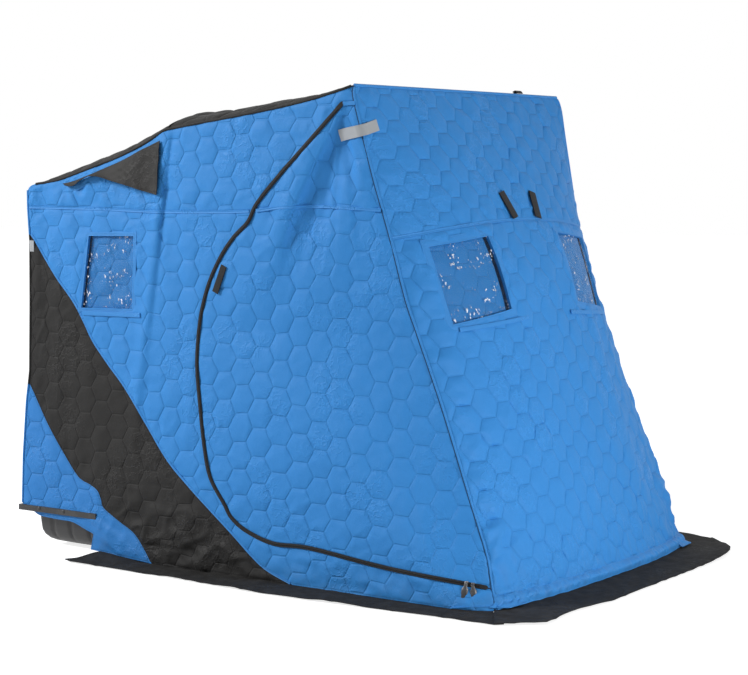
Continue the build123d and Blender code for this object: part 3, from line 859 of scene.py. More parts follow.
def group(name, inputs, outputs):
    """A node group with named sockets, and its adder, input node and output node."""
    tree = bpy.data.node_groups.get(name)
    if tree:
        return tree, None, None, None
    tree = bpy.data.node_groups.new(name, "ShaderNodeTree")
    for label, kind, value in inputs:
        socket = tree.interface.new_socket(label, in_out="INPUT", socket_type="NodeSocket" + kind)
        if value is not None:
            socket.default_value = value
    for label, kind in outputs:
        tree.interface.new_socket(label, in_out="OUTPUT", socket_type="NodeSocket" + kind)
    n = Nodes(tree)
    return tree, n, n.add("NodeGroupInput").outputs, n.add("NodeGroupOutput").inputs


def rgba(colour, times=1.0):
    return (*shade(colour, times, times, times), 1.0)


def shade(colour, *shares):
    """A colour with each channel times its share."""
    return tuple(channel * share for channel, share in zip(colour, shares))


def weave_group():
    """Crossed threads, as a height from 0 to 1."""
    tree, n, given, result = group("Cloth weave", [("Vector", "Vector", None), ("Thread", "Float", 0.0011)],
                                   [("Height", "Float")])
    if n is None:
        return tree
    parts = n.add("SeparateXYZ", {0: given["Vector"]}).outputs
    turn = n.math("DIVIDE", 6.2832, given["Thread"])  # a full turn to a thread
    warp = n.math("SINE", n.times(parts[0], turn))
    weft = n.math("SINE", n.times(parts[1], turn))
    cross = n.times(warp, weft)
    n.link(n.math("ADD", n.times(cross, 0.5), 0.5), result["Height"])
    return tree


def weld_group():
    """The pressed line between quilt cells and the stitched line beside a seam."""
    tree, n, given, result = group("Quilt lines", [("Width", "Float", 0.0032), ("Vector", "Vector", None)],
                                   [("Line", "Float"), ("Height", "Float"), ("Stitch", "Float")])
    if n is None:
        return tree
    quilt = n.add("Attribute", attribute_name="quilt").outputs["Fac"]
    seam = n.add("Attribute", attribute_name="seam").outputs["Fac"]
    half = n.times(given["Width"], 0.55)
    line = n.range(quilt, 0.0, given["Width"], 1.0, 0.0)
    groove = n.range(quilt, half, n.times(given["Width"], 1.6), 0.0, 1.0)
    away = n.math("ABSOLUTE", n.math("SUBTRACT", seam, 0.006))
    row = n.range(away, 0.0006, 0.0022, 1.0, 0.0)
    parts = n.add("SeparateXYZ", {0: given["Vector"]}).outputs
    dash = n.math("SINE", n.times(n.math("ADD", parts[0], parts[1]), 1150.0))
    stitch = n.times(row, n.range(dash, -0.6, 0.1, 0.35, 1.0))
    n.link(line, result["Line"])
    n.link(n.math("SUBTRACT", groove, n.times(stitch, 0.7)), result["Height"])
    n.link(stitch, result["Stitch"])
    return tree


def crumple_group():
    """Small creases in coated cloth: a height, and a mask of their crests."""
    tree, n, given, result = group("Cloth crumple", [("Vector", "Vector", None), ("Scale", "Float", 1.0)],
                                   [("Height", "Float"), ("Crest", "Float")])
    if n is None:
        return tree
    wide = n.noise(given["Vector"], n.times(given["Scale"], 9.0), 3.0, 0.5)
    drift = n.add("CombineXYZ", {0: n.times(wide, 0.04)}).outputs[0]
    bent = n.add("VectorMath", {0: given["Vector"], 1: drift}, operation="ADD").outputs[0]
    fine = n.noise(bent, n.times(given["Scale"], 30.0), 2.0, 0.55)
    fold = n.math("ABSOLUTE", n.math("SUBTRACT", fine, 0.5))
    sharp = n.range(fold, 0.0, 0.07, 1.0, 0.0)
    patchy = n.range(n.noise(given["Vector"], n.times(given["Scale"], 4.0), 1.0), 0.45, 0.65)
    crest = n.times(sharp, patchy)
    height = n.math("ADD", n.times(fine, 0.6), n.times(crest, 0.5))
    n.link(height, result["Height"])
    n.link(crest, result["Crest"])
    return tree


def tone_group():
    """Uneven dye and a little grime low down, as a factor around 1 and a grime mask."""
    tree, n, given, result = group("Cloth tone", [("Amount", "Float", 0.06), ("Scale", "Float", 1.0)],
                                   [("Factor", "Float"), ("Grime", "Float")])
    if n is None:
        return tree
    place_at = n.add("TexCoord").outputs["Object"]
    wide = n.noise(place_at, n.times(given["Scale"], 1.4), 2.0)
    small = n.noise(place_at, n.times(given["Scale"], 22.0), 3.0, 0.6)
    wide = n.times(n.math("SUBTRACT", wide, 0.5), 1.6)
    both = n.math("ADD", wide, n.math("SUBTRACT", small, 0.5))
    n.link(n.math("ADD", n.times(both, given["Amount"]), 1.0), result["Factor"])
    height = n.add("SeparateXYZ", {0: place_at}).outputs[2]
    low = n.range(height, 0.0, 0.14, 1.0, 0.0)
    n.link(n.times(low, n.range(small, 0.42, 0.62)), result["Grime"])
    return tree


def scuff_group():
    """Grain of moulded plastic or paint, and rubbed places on its high spots."""
    tree, n, given, result = group("Hard grain", [("Scale", "Float", 1.0)],
                                   [("Height", "Float"), ("Wear", "Float")])
    if n is None:
        return tree
    place_at = n.add("TexCoord").outputs["Object"]
    grain = n.noise(place_at, n.times(given["Scale"], 700.0), 2.0, 0.6)
    rub = n.noise(place_at, n.times(given["Scale"], 14.0), 6.0, 0.75)
    edge = n.add("NewGeometry").outputs["Pointiness"]
    worn = n.times(n.range(edge, 0.52, 0.60), n.range(rub, 0.45, 0.62))
    n.link(grain, result["Height"])
    n.link(n.math("MAXIMUM", worn, n.range(rub, 0.68, 0.78, 0.0, 0.35)), result["Wear"])
    return tree


def material(name):
    """An empty material with its adder and output socket, or the one already made."""
    found = bpy.data.materials.get(name)
    if found:
        return found, None, None
    made = bpy.data.materials.new(name)
    made.use_nodes = True
    made.node_tree.nodes.clear()
    n = Nodes(made.node_tree)
    return made, n, n.add("OutputMaterial").inputs["Surface"]


def cloth(name, colour, line=0.0, width=0.0032, roughness=0.55, sheen=0.02, tone=0.05, crumple=0.0026,
          thread=0.0011, specular=0.30, thread_depth=0.00012):
    """Coated polyester: dye, weave, creases with painted highlights on their crests, and pressed quilt lines
    of the given depth, whose darker colour is partly the pressed line and partly painted shade in the groove.
    """
    made, n, surface = material(name)
    if n is None:
        return made
    uv = n.add("UVMap", uv_map="pattern").outputs[0]
    weave = n.group(weave_group(), {"Vector": uv, "Thread": thread})
    lines = n.group(weld_group(), {"Vector": uv, "Width": width})
    fold = n.group(crumple_group(), {"Vector": uv})
    tones = n.group(tone_group(), {"Amount": tone})
    dyed = n.add("Mix", {0: 1.0, 6: rgba(colour)}, data_type="RGBA", blend_type="MULTIPLY")
    grey = n.add("CombineColor", {index: tones.outputs["Factor"] for index in range(3)})
    n.link(grey.outputs[0], dyed.inputs[7])
    # painted highlight: the crease crests are mixed towards a lighter copy of the colour
    creased = n.mix(n.times(fold.outputs["Crest"], 0.22), dyed.outputs[2], rgba(colour, 1.35))
    # the weld lines are painted darker: partly the pressed line's own colour, partly painted shade in its
    # groove
    pressed_line_and_groove_shade = n.times(lines.outputs["Line"], 0.10 if line else 0.0)
    pressed = n.mix(pressed_line_and_groove_shade, creased, rgba(colour, 0.58))
    stitching = n.times(lines.outputs["Stitch"], 0.25 if line else 0.0)
    sewn = n.mix(stitching, pressed, rgba(colour, 0.7))
    dirty = n.mix(n.times(tones.outputs["Grime"], 0.10), sewn, (0.10, 0.10, 0.10, 1.0))
    rough = n.range(fold.outputs["Height"], 0.2, 0.9, roughness + 0.06, roughness - 0.06)
    small = n.bump(weave.outputs["Height"], thread_depth, 0.6)
    middle = n.bump(fold.outputs["Height"], crumple, Normal=small)
    big = n.bump(lines.outputs["Height"], max(line, 0.00001), Normal=middle)
    shader = n.add("BsdfPrincipled", {"Base Color": dirty, "Roughness": rough, "Normal": big,
                                      "Sheen Weight": sheen, "Sheen Roughness": 0.5,
                                      "Specular IOR Level": specular})
    n.link(shader.outputs[0], surface)
    return made


def hard(name, colour, roughness=0.5, metallic=0.0, scale=1.0, depth=0.0002, worn=(0.12, 0.12, 0.12)):
    """Moulded plastic or painted metal, with grain and rubbed edges."""
    made, n, surface = material(name)
    if n is None:
        return made
    grain = n.group(scuff_group(), {"Scale": scale})
    paint = n.mix(n.times(grain.outputs["Wear"], 0.5), rgba(colour), rgba(worn))
    rough = n.range(grain.outputs["Wear"], 0.0, 1.0, roughness, roughness + 0.12)
    bump = n.bump(grain.outputs["Height"], depth, 0.7)
    shader = n.add("BsdfPrincipled", {"Base Color": paint, "Roughness": rough, "Normal": bump,
                                      "Metallic": metallic, "Specular IOR Level": 0.45})
    n.link(shader.outputs[0], surface)
    return made


def vinyl():
    """Clear sheet with sharp creases, and white glints painted on its crease crests and spots."""
    made, n, surface = material("Clear vinyl")
    if n is None:
        return made
    uv = n.add("UVMap", uv_map="pattern").outputs[0]
    fold = n.group(crumple_group(), {"Vector": uv, "Scale": 3.0})
    stretched = n.add("VectorMath", {0: uv, 1: (1.0, 0.45, 1.0)}, operation="MULTIPLY").outputs[0]
    clusters = n.range(n.noise(uv, 13.0, 2.0, 0.6), 0.48, 0.60, 0.02, 1.0)
    spots = n.times(n.range(n.noise(stretched, 120.0, 2.0, 0.5), 0.60, 0.65), clusters)
    crest = n.times(n.math("POWER", fold.outputs["Crest"], 4.0), n.math("POWER", clusters, 2.0))
    # painted glints: crease crests and clustered spots turned near white and opaque
    glint = n.math("MAXIMUM", n.times(crest, 0.45), spots, True)
    alpha = n.range(glint, 0.15, 0.9, 0.09, 0.95, "LINEAR")
    tint = n.mix(glint, (0.03, 0.09, 0.24, 1.0), (0.93, 0.97, 1.0, 1.0))
    bump = n.bump(fold.outputs["Height"], 0.004)
    shader = n.add("BsdfPrincipled", {"Base Color": tint, "Roughness": 0.08, "Alpha": alpha,
                                      "Normal": bump, "Specular IOR Level": 0.4,
                                      "Coat Weight": 0.08, "Coat Roughness": 0.04})
    n.link(shader.outputs[0], surface)
    return made


def blue():
    return cloth("Quilted blue", settings()[0].blue, line=0.0017, specular=0.21)


# the blue darkened for the rear tail: painted shade on the lower rear corner
def shaded_tail_blue():
    return cloth("Tail blue with painted shade", shade(settings()[0].blue, 0.60, 0.80, 0.86), line=0.0022)


def cover_blue():
    return cloth("Cover blue", shade(settings()[0].blue, 0.75, 0.98, 0.98), line=0.0016, tone=0.08)


def blue_plain():
    return cloth("Plain blue", settings()[0].blue, line=0.0008, crumple=0.0030)


# dark copy of the blue for a strip of painted shadow beside the corner seam
def seam_shadow():
    return cloth("Seam painted shadow", shade(settings()[0].blue, 0.22, 0.22, 0.22), roughness=0.7)


def charcoal():
    return cloth("Quilted charcoal", settings()[0].charcoal, line=0.0016, roughness=0.6, tone=0.08,
                 specular=0.20)


# charcoal made 1.9 times lighter for the hood: painted light where the hood catches more light
def lit_hood_charcoal():
    return cloth("Hood charcoal painted lighter", shade(settings()[0].charcoal, 1.9, 1.9, 1.9), line=0.0008, roughness=0.6,
                 tone=0.06, crumple=0.0016, specular=0.18)


def skirt_cloth():
    return cloth("Skirt cloth", settings()[0].skirt, line=0.0008, roughness=0.75, tone=0.20, crumple=0.0030,
                 specular=0.12, sheen=0.0)


def lining():
    return cloth("Lining", settings()[0].lining, roughness=0.7)


def black_tape():
    return cloth("Black webbing", settings()[1].trim_black, roughness=0.6, thread=0.0022, thread_depth=0.0004,
                 tone=0.1, crumple=0.0004, specular=0.22)


def reflective():
    return cloth("Reflective tape", settings()[1].reflective, roughness=0.34, thread=0.0016, tone=0.08,
                 crumple=0.0012, specular=0.6)


def zinc():
    return hard("Dark zinc", (0.045, 0.045, 0.048), 0.38, 0.35, 2.0, worn=(0.45, 0.45, 0.46))


def moulded_plastic():
    return hard("Moulded black", (0.020, 0.020, 0.021), 0.52, 0.0, 0.5, 0.0004)


def rail_black():
    return hard("Rail black", (0.014, 0.014, 0.015), 0.40, 0.0, 1.0, 0.0002, (0.05, 0.05, 0.05))


def bow_enamel():
    return hard("Bow enamel", (0.030, 0.030, 0.032), 0.35, 0.3, 1.5, 0.0001, (0.3, 0.3, 0.3))


# ------------------------------------------------------------------ outlines shared by the pieces
ZIP_LINE = smooth_line(ZIP, 0.008)
SEAM_LINE = smooth_line(SIDE_SEAM)
EAVE_EDGE = smooth_line(EAVE)
DARK_TOP_LINE = smooth_line(DARK_TOP)
DARK_LOW_LINE = smooth_line(DARK_LOW)
TAIL_LINE = smooth_line(TAIL)
ZIP_HALF_GAP = 0.0022
SEAM_SPLIT = int(np.argmax(ZIP_LINE[:, 1] < 1.4735))  # where the long seam meets the zip
SLIT = 1.8872  # height of the short slit from the zip to the corner
DARK_TOP_GAP = 0.0012
DARK_LOW_GAP = 0.0008
BROW = 1.956  # height of the front wall's top edge
HEM = 0.046  # and of its foot over the gathered band
BAND = (0.006, 0.055)  # the band's own lower and upper edge


def corner_edge(high, low):
    """The front corner seam in side view between two heights."""
    z = np.linspace(high, low, max(2, int(abs(high - low) / 0.010) + 1))
    return np.stack([corner_at(z, 1), z], axis=1)


def straight(*points):
    """Straight runs between points, sampled evenly."""
    return joined(*[even([a, b]) for a, b in zip(points, points[1:])])


def cut(line, low, high):
    """The part of a line whose first column lies between two values."""
    return line[(line[:, 0] >= low) & (line[:, 0] <= high)]


def side_upper_outline():
    """Over the long seam, behind the zip and the slit."""
    wall_edge = shifted(ZIP_LINE, -ZIP_HALF_GAP)[:SEAM_SPLIT + 1]
    head = (corner_at(SLIT, 1), SLIT)
    return joined(EAVE_EDGE, corner_edge(1.950, 1.889), straight(head, wall_edge[0] + (0.006, 0.0018)),
                  wall_edge, cut(SEAM_LINE, -1.31, wall_edge[-1][0] - 0.006)[::-1],
                  straight((-1.309, 1.483), EAVE_EDGE[0])[1:-1])


def side_lower_outline():
    """From the long seam down to the dark panel, and the strip under the door."""
    wall_edge = shifted(ZIP_LINE, -ZIP_HALF_GAP)[SEAM_SPLIT:]
    foot = wall_edge[-1]
    dark_edge = DARK_TOP_LINE[::-1] + (DARK_TOP_GAP, DARK_TOP_GAP)
    return joined(cut(SEAM_LINE, -1.31, wall_edge[0][0] - 0.004), wall_edge,
                  straight(foot, (corner_at(foot[1], 1), foot[1]))[1:], corner_edge(foot[1] - 0.01, FOOT),
                  straight((corner_at(FOOT, 1), FOOT), DARK_TOP_LINE[-1] + (0.004, 0.001))[1:],
                  dark_edge[1:], straight(dark_edge[-1], SEAM_LINE[0])[1:-1])


def door_outline():
    """In front of the zip, under the slit."""
    edge = shifted(ZIP_LINE, ZIP_HALF_GAP)
    foot, top = edge[-1], SLIT - 0.0004
    return joined(edge, straight(foot, (corner_at(foot[1], 1), foot[1]))[1:],
                  corner_edge(foot[1] + 0.01, top), straight((corner_at(top, 1), top), edge[0])[1:-1])


def dark_outline():
    """The dark diagonal panel."""
    low_edge = DARK_LOW_LINE[::-1] + (DARK_LOW_GAP, DARK_LOW_GAP)
    return joined(DARK_TOP_LINE, straight(DARK_TOP_LINE[-1], DARK_LOW_LINE[-1] + (0.001, 0))[1:],
                  low_edge[1:], straight(low_edge[-1], DARK_TOP_LINE[0])[1:-1])


def tail_outline():
    """The rear tail under the dark panel."""
    return joined(DARK_LOW_LINE, straight(DARK_LOW_LINE[-1], TAIL_LINE[-1])[1:], TAIL_LINE[::-1][1:],
                  straight(TAIL_LINE[0], DARK_LOW_LINE[0])[1:-1])


def front_seam_z(u):
    """Height of the front wall's seam across it."""
    return 1.372 + 0.059 * (1 - u ** 2)


# ------------------------------------------------------------------ how each panel hangs
# each takes the places in a panel's pattern, and gives height to add or, from 0 to 1, quilting to take away
def droop(p, seed):
    """Slanting wrinkles of the loose cloth under the hood."""
    x, z = p[:, 0], p[:, 1]
    share = hump(x, -0.95, 0.30) * ease(z, 1.38, 1.46)
    folds = ridges((x * 0.9 + z * 0.5) * 20, (z - x * 0.6) * 5, seed + 20, 2.3, -0.5)
    sewn = along(HOOD_TOP, x)
    return 0.0080 * share * folds * (1 - ease(z, sewn - 0.040, sewn - 0.012))


def under_hood(p):
    """No quilting along the hood's sewn edge and over it."""
    sewn = along(HOOD_TOP, p[:, 0])
    return ease(p[:, 1], sewn - 0.030, sewn - 0.010) * ease(-p[:, 0], 0.54, 0.58)


def sill(p, seed):
    """Creases of the narrow strip under the door."""
    x, z = p[:, 0], p[:, 1]
    low = 1 - ease(z, 0.05, 0.22)
    fine, wide = noise(x * 20, z * 34, seed + 21), noise(x * 8, z * 30, seed)
    return low * (0.0036 * fine + 0.004 * wide)


def crushed(p, seed):
    """The dark panel's heavy wrinkles near the hem, soft folds above and pressed pocket lines."""
    x, z = p[:, 0], p[:, 1]
    low = 1 - ease(z, 0.10, 0.42)
    deep = noise(x * 15 + z * 5, z * 26, seed + 22)
    ridge = ridges(x * 9 + 4, z * 14 - x * 5, seed + 23, 2.2, 0)
    upright = noise(x * 16, z * 2.5, seed + 24) * hump(z, 0.62, 0.30) * hump(x, -1.05, 0.25)
    wide = 0.0045  # half width of a pressed line
    down = hump(x, -0.727 + 0.17 * (0.342 - z), wide) + hump(x, -0.466 + 0.16 * (0.356 - z), wide)
    over = hump(z, 0.332 + 0.05 * (x + 0.643), wide)
    under = hump(z, 0.080, wide)
    lines = down * ease(z, 0.09, 0.12) * (1 - ease(z, 0.34, 0.36)) \
        + over * ease(x, -0.86, -0.83) * (1 - ease(x, -0.45, -0.43)) \
        + under * ease(x, -0.66, -0.63) * (1 - ease(x, -0.37, -0.35))
    return 0.0075 * low * deep + 0.008 * low * ridge + 0.0045 * upright - 0.004 * lines


def loose_tail(p, seed):
    """Folds that run down from the rail to the tail's lower corner."""
    x, z = p[:, 0], p[:, 1]
    low = 1 - ease(z, 0.12, 0.24)
    return 0.0085 * low * ridges((z + 0.50 * x) * 24, (x - 0.5 * z) * 3, seed + 25, 2.2, -0.4)


def tail_corner(p):
    """No quilting on the tail's hanging corner."""
    return 1 - ease(p[:, 1], 0.155, 0.185)


def fan(p, seed):
    """Fine folds that fan out from the zip's head."""
    x, z = p[:, 0] - ZIP[0][0], p[:, 1] - ZIP[0][1]
    away = np.hypot(x, z)
    folds = ridges(np.arctan2(z, x) * 8, away * 1.5, seed + 8, 2.2, -0.4)
    return 0.0050 * folds * hump(away, 0.32, 0.30)


def corner_patch(p):
    """No quilting on the small unquilted triangles at the foot of both corners."""
    u, t = p[:, 0] / FRONT_WIDE, p[:, 1]
    return ease(np.abs(u) + (0.30 - t) * 0.55, 0.93, 0.99) * (1 - ease(t, 0.26, 0.32))


def front_strain(p):
    """Upright gathers over the hem band and slanting folds at the corners' feet."""
    u, t = p[:, 0] / FRONT_WIDE, p[:, 1]
    across = p[:, 0]
    gathers = 0.0058 * ridges(across * 30 + 2 * t, t * 3, 93, 2.4, -0.3) * (1 - ease(t, 0.06, 0.42))
    gathers = gathers + 0.0050 * noise(across * 9, t * 2, 96) * (1 - ease(t, 0.3, 0.9))
    corner = ease(np.abs(u), 0.70, 0.95) * (1 - ease(t, 0.12, 0.42))
    slant = 0.019 * corner * ridges((t + np.abs(u) * 0.40) * 17, (np.abs(u) - t) * 4, 95, 2.2, -0.4)
    waist = 0.004 * noise(across * 12, t * 6, 97) * hump(t, 1.30, 0.3)
    seam_pull = 0.006 * noise(u * 5, t * 21, 94) * ease(np.abs(u), 0.76, 0.93)
    seam_pull = seam_pull * (1 - ease(t, 1.2, 1.5))
    far_drape = 0.006 * noise(across * 13 + t, t * 2.2, 92) * ease(u, 0.0, 0.5)
    return gathers + slant + waist + seam_pull + far_drape


def gathered(p):
    """The hem band's round roll and its gathers."""
    low, high = np.interp(BAND, FRONT_T[:, 0], FRONT_T[:, 1])
    t = np.clip((p[:, 1] - low) / (high - low), 0, 1)
    round_over = 0.017 * np.sin(math.pi * t) ** 0.7
    lean_over = p[:, 0] + 0.012 * t
    fine, wide = noise(lean_over * 58, t * 1.4, 98), noise(lean_over * 21, t, 99)
    return round_over * (1 + 0.42 * fine + 0.26 * wide)


def sag(p):
    """Soft sags between the bows."""
    return 0.004 * noise(p[:, 0] * 9, p[:, 1] * 3, 45) * (1 - np.abs(p[:, 1] / TOP_HALF) ** 3)


def creased(p, seed):
    """Sharp creases that cross the sheet."""
    a, b = p[:, 0], p[:, 1]
    return 0.0022 * ridges((a + 0.35 * b) * 34, (b - 0.3 * a) * 11, seed + 1, 2, -0.4) \
        + 0.0016 * ridges((a - 0.7 * b) * 24, (b + 0.5 * a) * 15, seed + 2, 2, -0.4)


# ------------------------------------------------------------------ operators, one a piece or group
class SHELTER_OT_side_walls(bpy.types.Operator):
    """Quilted side walls with their dark diagonal panels and rear tails"""

    bl_idname = "shelter.side_walls"
    bl_label = "Side walls"

    def execute(self, context):
        for side, hand, surface, out in SIDES:
            common = dict(quilt(), out=out)
            seed = 11 if hand < 0 else 51
            panel(f"side_upper_{side}", side_upper_outline(), surface, [blue(), lining()], "quilted_blue",
                  [f"{side}_wall_upper"], seed=seed, shape=partial(droop, seed=seed), plain=under_hood,
                  rough=0.9, **common)
            panel(f"side_lower_{side}", side_lower_outline(), surface, [blue(), lining()], "quilted_blue",
                  [f"{side}_wall_panel", f"{side}_door_surround"], holes=[polygon(SIDE_WINDOW)],
                  seed=seed + 1, shape=partial(sill, seed=seed), rough=0.7, **common)
            panel(f"side_dark_{side}", dark_outline(), surface, [charcoal(), lining()], "charcoal_fabric",
                  [f"{side}_wall_dark_panel"], out=out, seed=seed + 2, shape=partial(crushed, seed=seed),
                  rough=0.8, **quilt(puff=0.6))
            panel(f"side_tail_{side}", tail_outline(), surface, [shaded_tail_blue(), lining()], "quilted_blue",
                  [f"{side}_wall_tail"], seed=seed + 3, shape=partial(loose_tail, seed=seed),
                  plain=tail_corner, rough=0.4, **common)
        return {"FINISHED"}


class SHELTER_OT_doors(bpy.types.Operator):
    """Door panels with zips, sliders and pull tabs"""

    bl_idname = "shelter.doors"
    bl_label = "Doors and zips"

    def execute(self, context):
        trim = settings()[1]
        for side, hand, surface, out in SIDES:
            body = f"{side}_door"
            seed = 31 if hand < 0 else 71
            panel(f"door_{side}", door_outline(), surface, [blue(), lining()], "quilted_blue", [body], body,
                  out=out, seed=seed, shape=partial(fan, seed=seed), rough=0.7, **quilt())

            # both tapes and the coil between them
            quarter = trim.zip_width / 4
            tape = [(-quarter, -0.001), (-quarter, 0.0022), (0, 0.0026), (quarter, 0.0022), (quarter, -0.001),
                    (0, -0.001)]
            for part, way, rides, nodes in (("wall", -1, "shelter", ()),
                                            ("door", 1, body, [f"{side}_door_zip"])):
                sew(f"zip_{part}_{side}", surface, out, shifted(ZIP_LINE, way * (quarter + 0.0006)), 0.0030,
                    tape, black_tape(), rides, nodes)
            path, ups = on(surface, shifted(ZIP_LINE, 0.0018), out, 0.0062)
            path = even(path, 0.0017)  # half a tooth
            teeth = 1 + 0.16 * np.cos(np.arange(len(path)) * math.pi)
            coil = [(x * 0.0027, y * 0.0016) for x, y in cord_section(1, 8)]
            lay(f"zip_coil_{side}", path, resampled(ups, len(path)), coil, black_tape(), body,
                swell=teeth)

            # the zip's sewn ends
            for end, at, before, reach in (("head", ZIP_LINE[0], ZIP_LINE[6], 0.012),
                                           ("foot", ZIP_LINE[-1], ZIP_LINE[-7], 0.016)):
                towards = (at - before) / np.linalg.norm(at - before)
                t = np.linspace(-0.022, reach, 9)
                wide = np.clip(np.sqrt(np.clip((reach + 0.002 - t) / 0.012, 0, 1)), 0.35, 1) * 1.12
                sew(f"zip_{end}_{side}", surface, out, at + t[:, None] * towards, 0.0050,
                    strap(trim.zip_width, 0.0022), black_tape(), swell=wide)

            # two sliders side by side at the foot, pulls hanging
            for index, (run, swing) in enumerate(((0.078, -0.16), (0.050, 0.10))):
                spot = ZIP_LINE[-1] + np.array([-run, 0.0045 * run / 0.05])
                (at,), (up,) = on(surface, [spot], out, 0.0075)
                place(self.slider(f"zip_slider_{side}_{index}", at, up, swing))

            # the tab beside the zip
            tab_line = even([(-0.190, 1.254), (-0.212, 1.200), (-0.235, 1.146)], 0.008)
            sew(f"door_tab_{side}", surface, out, tab_line, 0.0095, strap(0.030, 0.0024, 0.0008),
                black_tape(), body)
        return {"FINISHED"}

    def slider(self, name, at, up, swing):
        """A slider body with a ring and a ribbed pull that hangs down.

        The pull's rows are its length so far, half width and half depth.
        """
        work = bmesh.new()
        ahead = Vector((-1, 0, 0.05)).normalized()
        up = Vector(up)
        across = ahead.cross(up).normalized()
        axes = Matrix((ahead, across, up)).transposed().to_4x4()
        body = bmesh.ops.create_cube(work, size=1.0)["verts"]
        for v in body:
            taper = 0.75 if v.co.x > 0 else 1.0
            v.co = Vector((v.co.x * 0.018, v.co.y * 0.014 * taper, v.co.z * 0.006))
        bmesh.ops.bevel(work, geom=list(work.edges), offset=0.0016, segments=2, affect="EDGES")
        loop = bmesh.ops.create_cone(work, segments=14, radius1=0.0032, radius2=0.0032, depth=0.005)["verts"]
        bmesh.ops.translate(work, verts=loop, vec=(0, 0, 0.0045))
        for v in work.verts:
            v.co = axes @ v.co
        down = Matrix.Rotation(swing, 3, up) @ Vector((0, 0, -1))
        side = down.cross(up).normalized()
        out = side.cross(down).normalized()
        rows = []
        for s, width, thick in ((0.0, 0.0035, 0.0022), (0.006, 0.0048, 0.0024), (0.013, 0.0050, 0.0024),
                                (0.019, 0.0090, 0.0036), (0.036, 0.0105, 0.0042), (0.056, 0.0105, 0.0042),
                                (0.064, 0.0085, 0.0036), (0.067, 0.0050, 0.0026)):
            s, width, thick = s * 1.3, width * 1.3, thick * 1.2
            centre = down * s + up * (0.0075 + 0.004 * math.sin(min(s, 0.03) / 0.03 * math.pi / 2))
            rows += [work.verts.new(centre + side * width * x + out * thick * y) for x, y in cord_section(1)]
        for corners in tube_faces(len(rows) // 10, 10):
            work.faces.new([rows[k] for k in corners])
        bmesh.ops.recalc_face_normals(work, faces=work.faces)
        work.verts.index_update()
        points = [v.co + Vector(at) for v in work.verts]
        faces = [[v.index for v in f.verts] for f in work.faces]
        work.free()
        return make(name, points, faces, [zinc()], crease=35)


class SHELTER_OT_front_wall(bpy.types.Operator):
    """Front wall: upper and lower panels, gathered hem band, straps and top tab"""

    bl_idname = "shelter.front_wall"
    bl_label = "Front wall"

    def execute(self, context):
        gap = 0.0006  # half of what the seam covers
        across = np.linspace(-1, 1, 153)
        seam = front_seam_z(across)
        corner = float(seam[0])

        def edge_run(u, low, high, count):
            return front_line(u, np.linspace(low, high, count)[1:-1])

        outline = joined(front_line(across, seam + gap), edge_run(1, corner + gap, BROW, 60),
                         front_line(across, BROW)[::-1], edge_run(-1, BROW, corner + gap, 60))
        panel("front_upper", outline, front_surface, [blue(), lining()], "quilted_blue", ["front_wall_upper"],
              seed=91, rough=0.9, **quilt(1.5, 1.4))

        windows = [polygon(front_flat([(hand * y, z) for y, z in FRONT_WINDOW])) for hand in (-1, 1)]
        outline = joined(front_line(across, HEM), edge_run(1, HEM, corner - gap, 134),
                         front_line(across, seam - gap)[::-1], edge_run(-1, corner - gap, HEM, 134))
        panel("front_lower", outline, front_surface, [blue(), lining()], "quilted_blue", ["front_wall_lower"],
              holes=windows, seed=92, shape=front_strain, plain=corner_patch, rough=0.8, **quilt(1.5, 1.4))

        # gathered hem band
        across = np.linspace(-1.0, 1.0, 240)
        low, high = (front_line(across, z) for z in BAND)
        panel("front_hem_band", joined(low, high[::-1]), front_surface, [blue_plain(), lining()],
              "quilted_blue", step=0.006, thick=0.002, lift=0.003, wrinkle=0.4, seed=94, shape=gathered,
              coarse=2)

        # two straps under the brow and a small tab on the far top edge
        for index, ends in enumerate((((-0.059, 1.540), (-0.029, 1.434)), ((0.185, 1.537), (0.150, 1.432)))):
            sew(f"front_strap_{index}", front_surface, 1, even(front_flat(ends), 0.008), 0.0105,
                strap(0.044, 0.0024, 0.0006), black_tape())
        path = even([(x, 0.475, z) for x, z in (
            (0.380, 1.955), (0.388, 1.972), (0.400, 1.977), (0.410, 1.966))], 0.006)
        lay("front_top_tab", path, (0.6, 0, 0.8), strap(0.046, 0.0030), black_tape())
        for side, hand, _, _ in SIDES:
            self.flap(f"hem_flap_{side}", hand)
        return {"FINISHED"}

    def flap(self, name, hand):
        """The hem's loose blue flap that spreads on the skirt at the foot of a corner."""
        rows, count, deep = 12, 34, 0.08
        s, t = np.linspace(0, 1, count), np.linspace(0, 1, rows)[:, None]
        foot = float(corner_at(0.03, 1))
        side_run = side_point(np.linspace(foot - 0.20, foot - 0.004, 14), np.linspace(0.010, 0.040, 14), hand)
        front_run = front_line(hand * np.linspace(0.995, 0.86, 20), np.linspace(0.045, 0.058, 20))
        front_run = front_surface(*front_run.T)
        high = np.vstack([side_run + (0, hand * 0.008, 0), front_run + (0.010, 0, 0)])
        low = resampled(smooth_line([
            (foot - 0.20, 0.800), (foot - 0.05, 0.800), (1.065, 0.790), (1.108, 0.762), (1.112, 0.735),
            (1.118, 0.680), (1.120, 0.655)], 0.004), count)
        x = high[:, 0] * (1 - t) + low[:, 0] * t
        y = high[:, 1] * (1 - t) + hand * low[:, 1] * t
        z = high[:, 2] * (1 - t) ** 1.6 + 0.0175 * (1 - (1 - t) ** 1.6)
        z = z + 0.005 * noise(s * 13 + t * 3, t * 3 + 0 * s, 97) * np.sin(math.pi * np.clip(t, 0.05, 1))
        top = np.stack([x, y, z], axis=-1).reshape(-1, 3)
        flat = np.stack([np.tile(s * 0.4, rows), np.repeat(t[:, 0] * deep, count)], axis=1)
        rim = np.minimum(flat[:, 1], deep - flat[:, 1])
        place(thin_sheet(name, top, top - (0, 0, 0.0024), count, flat, rim, blue_plain()))


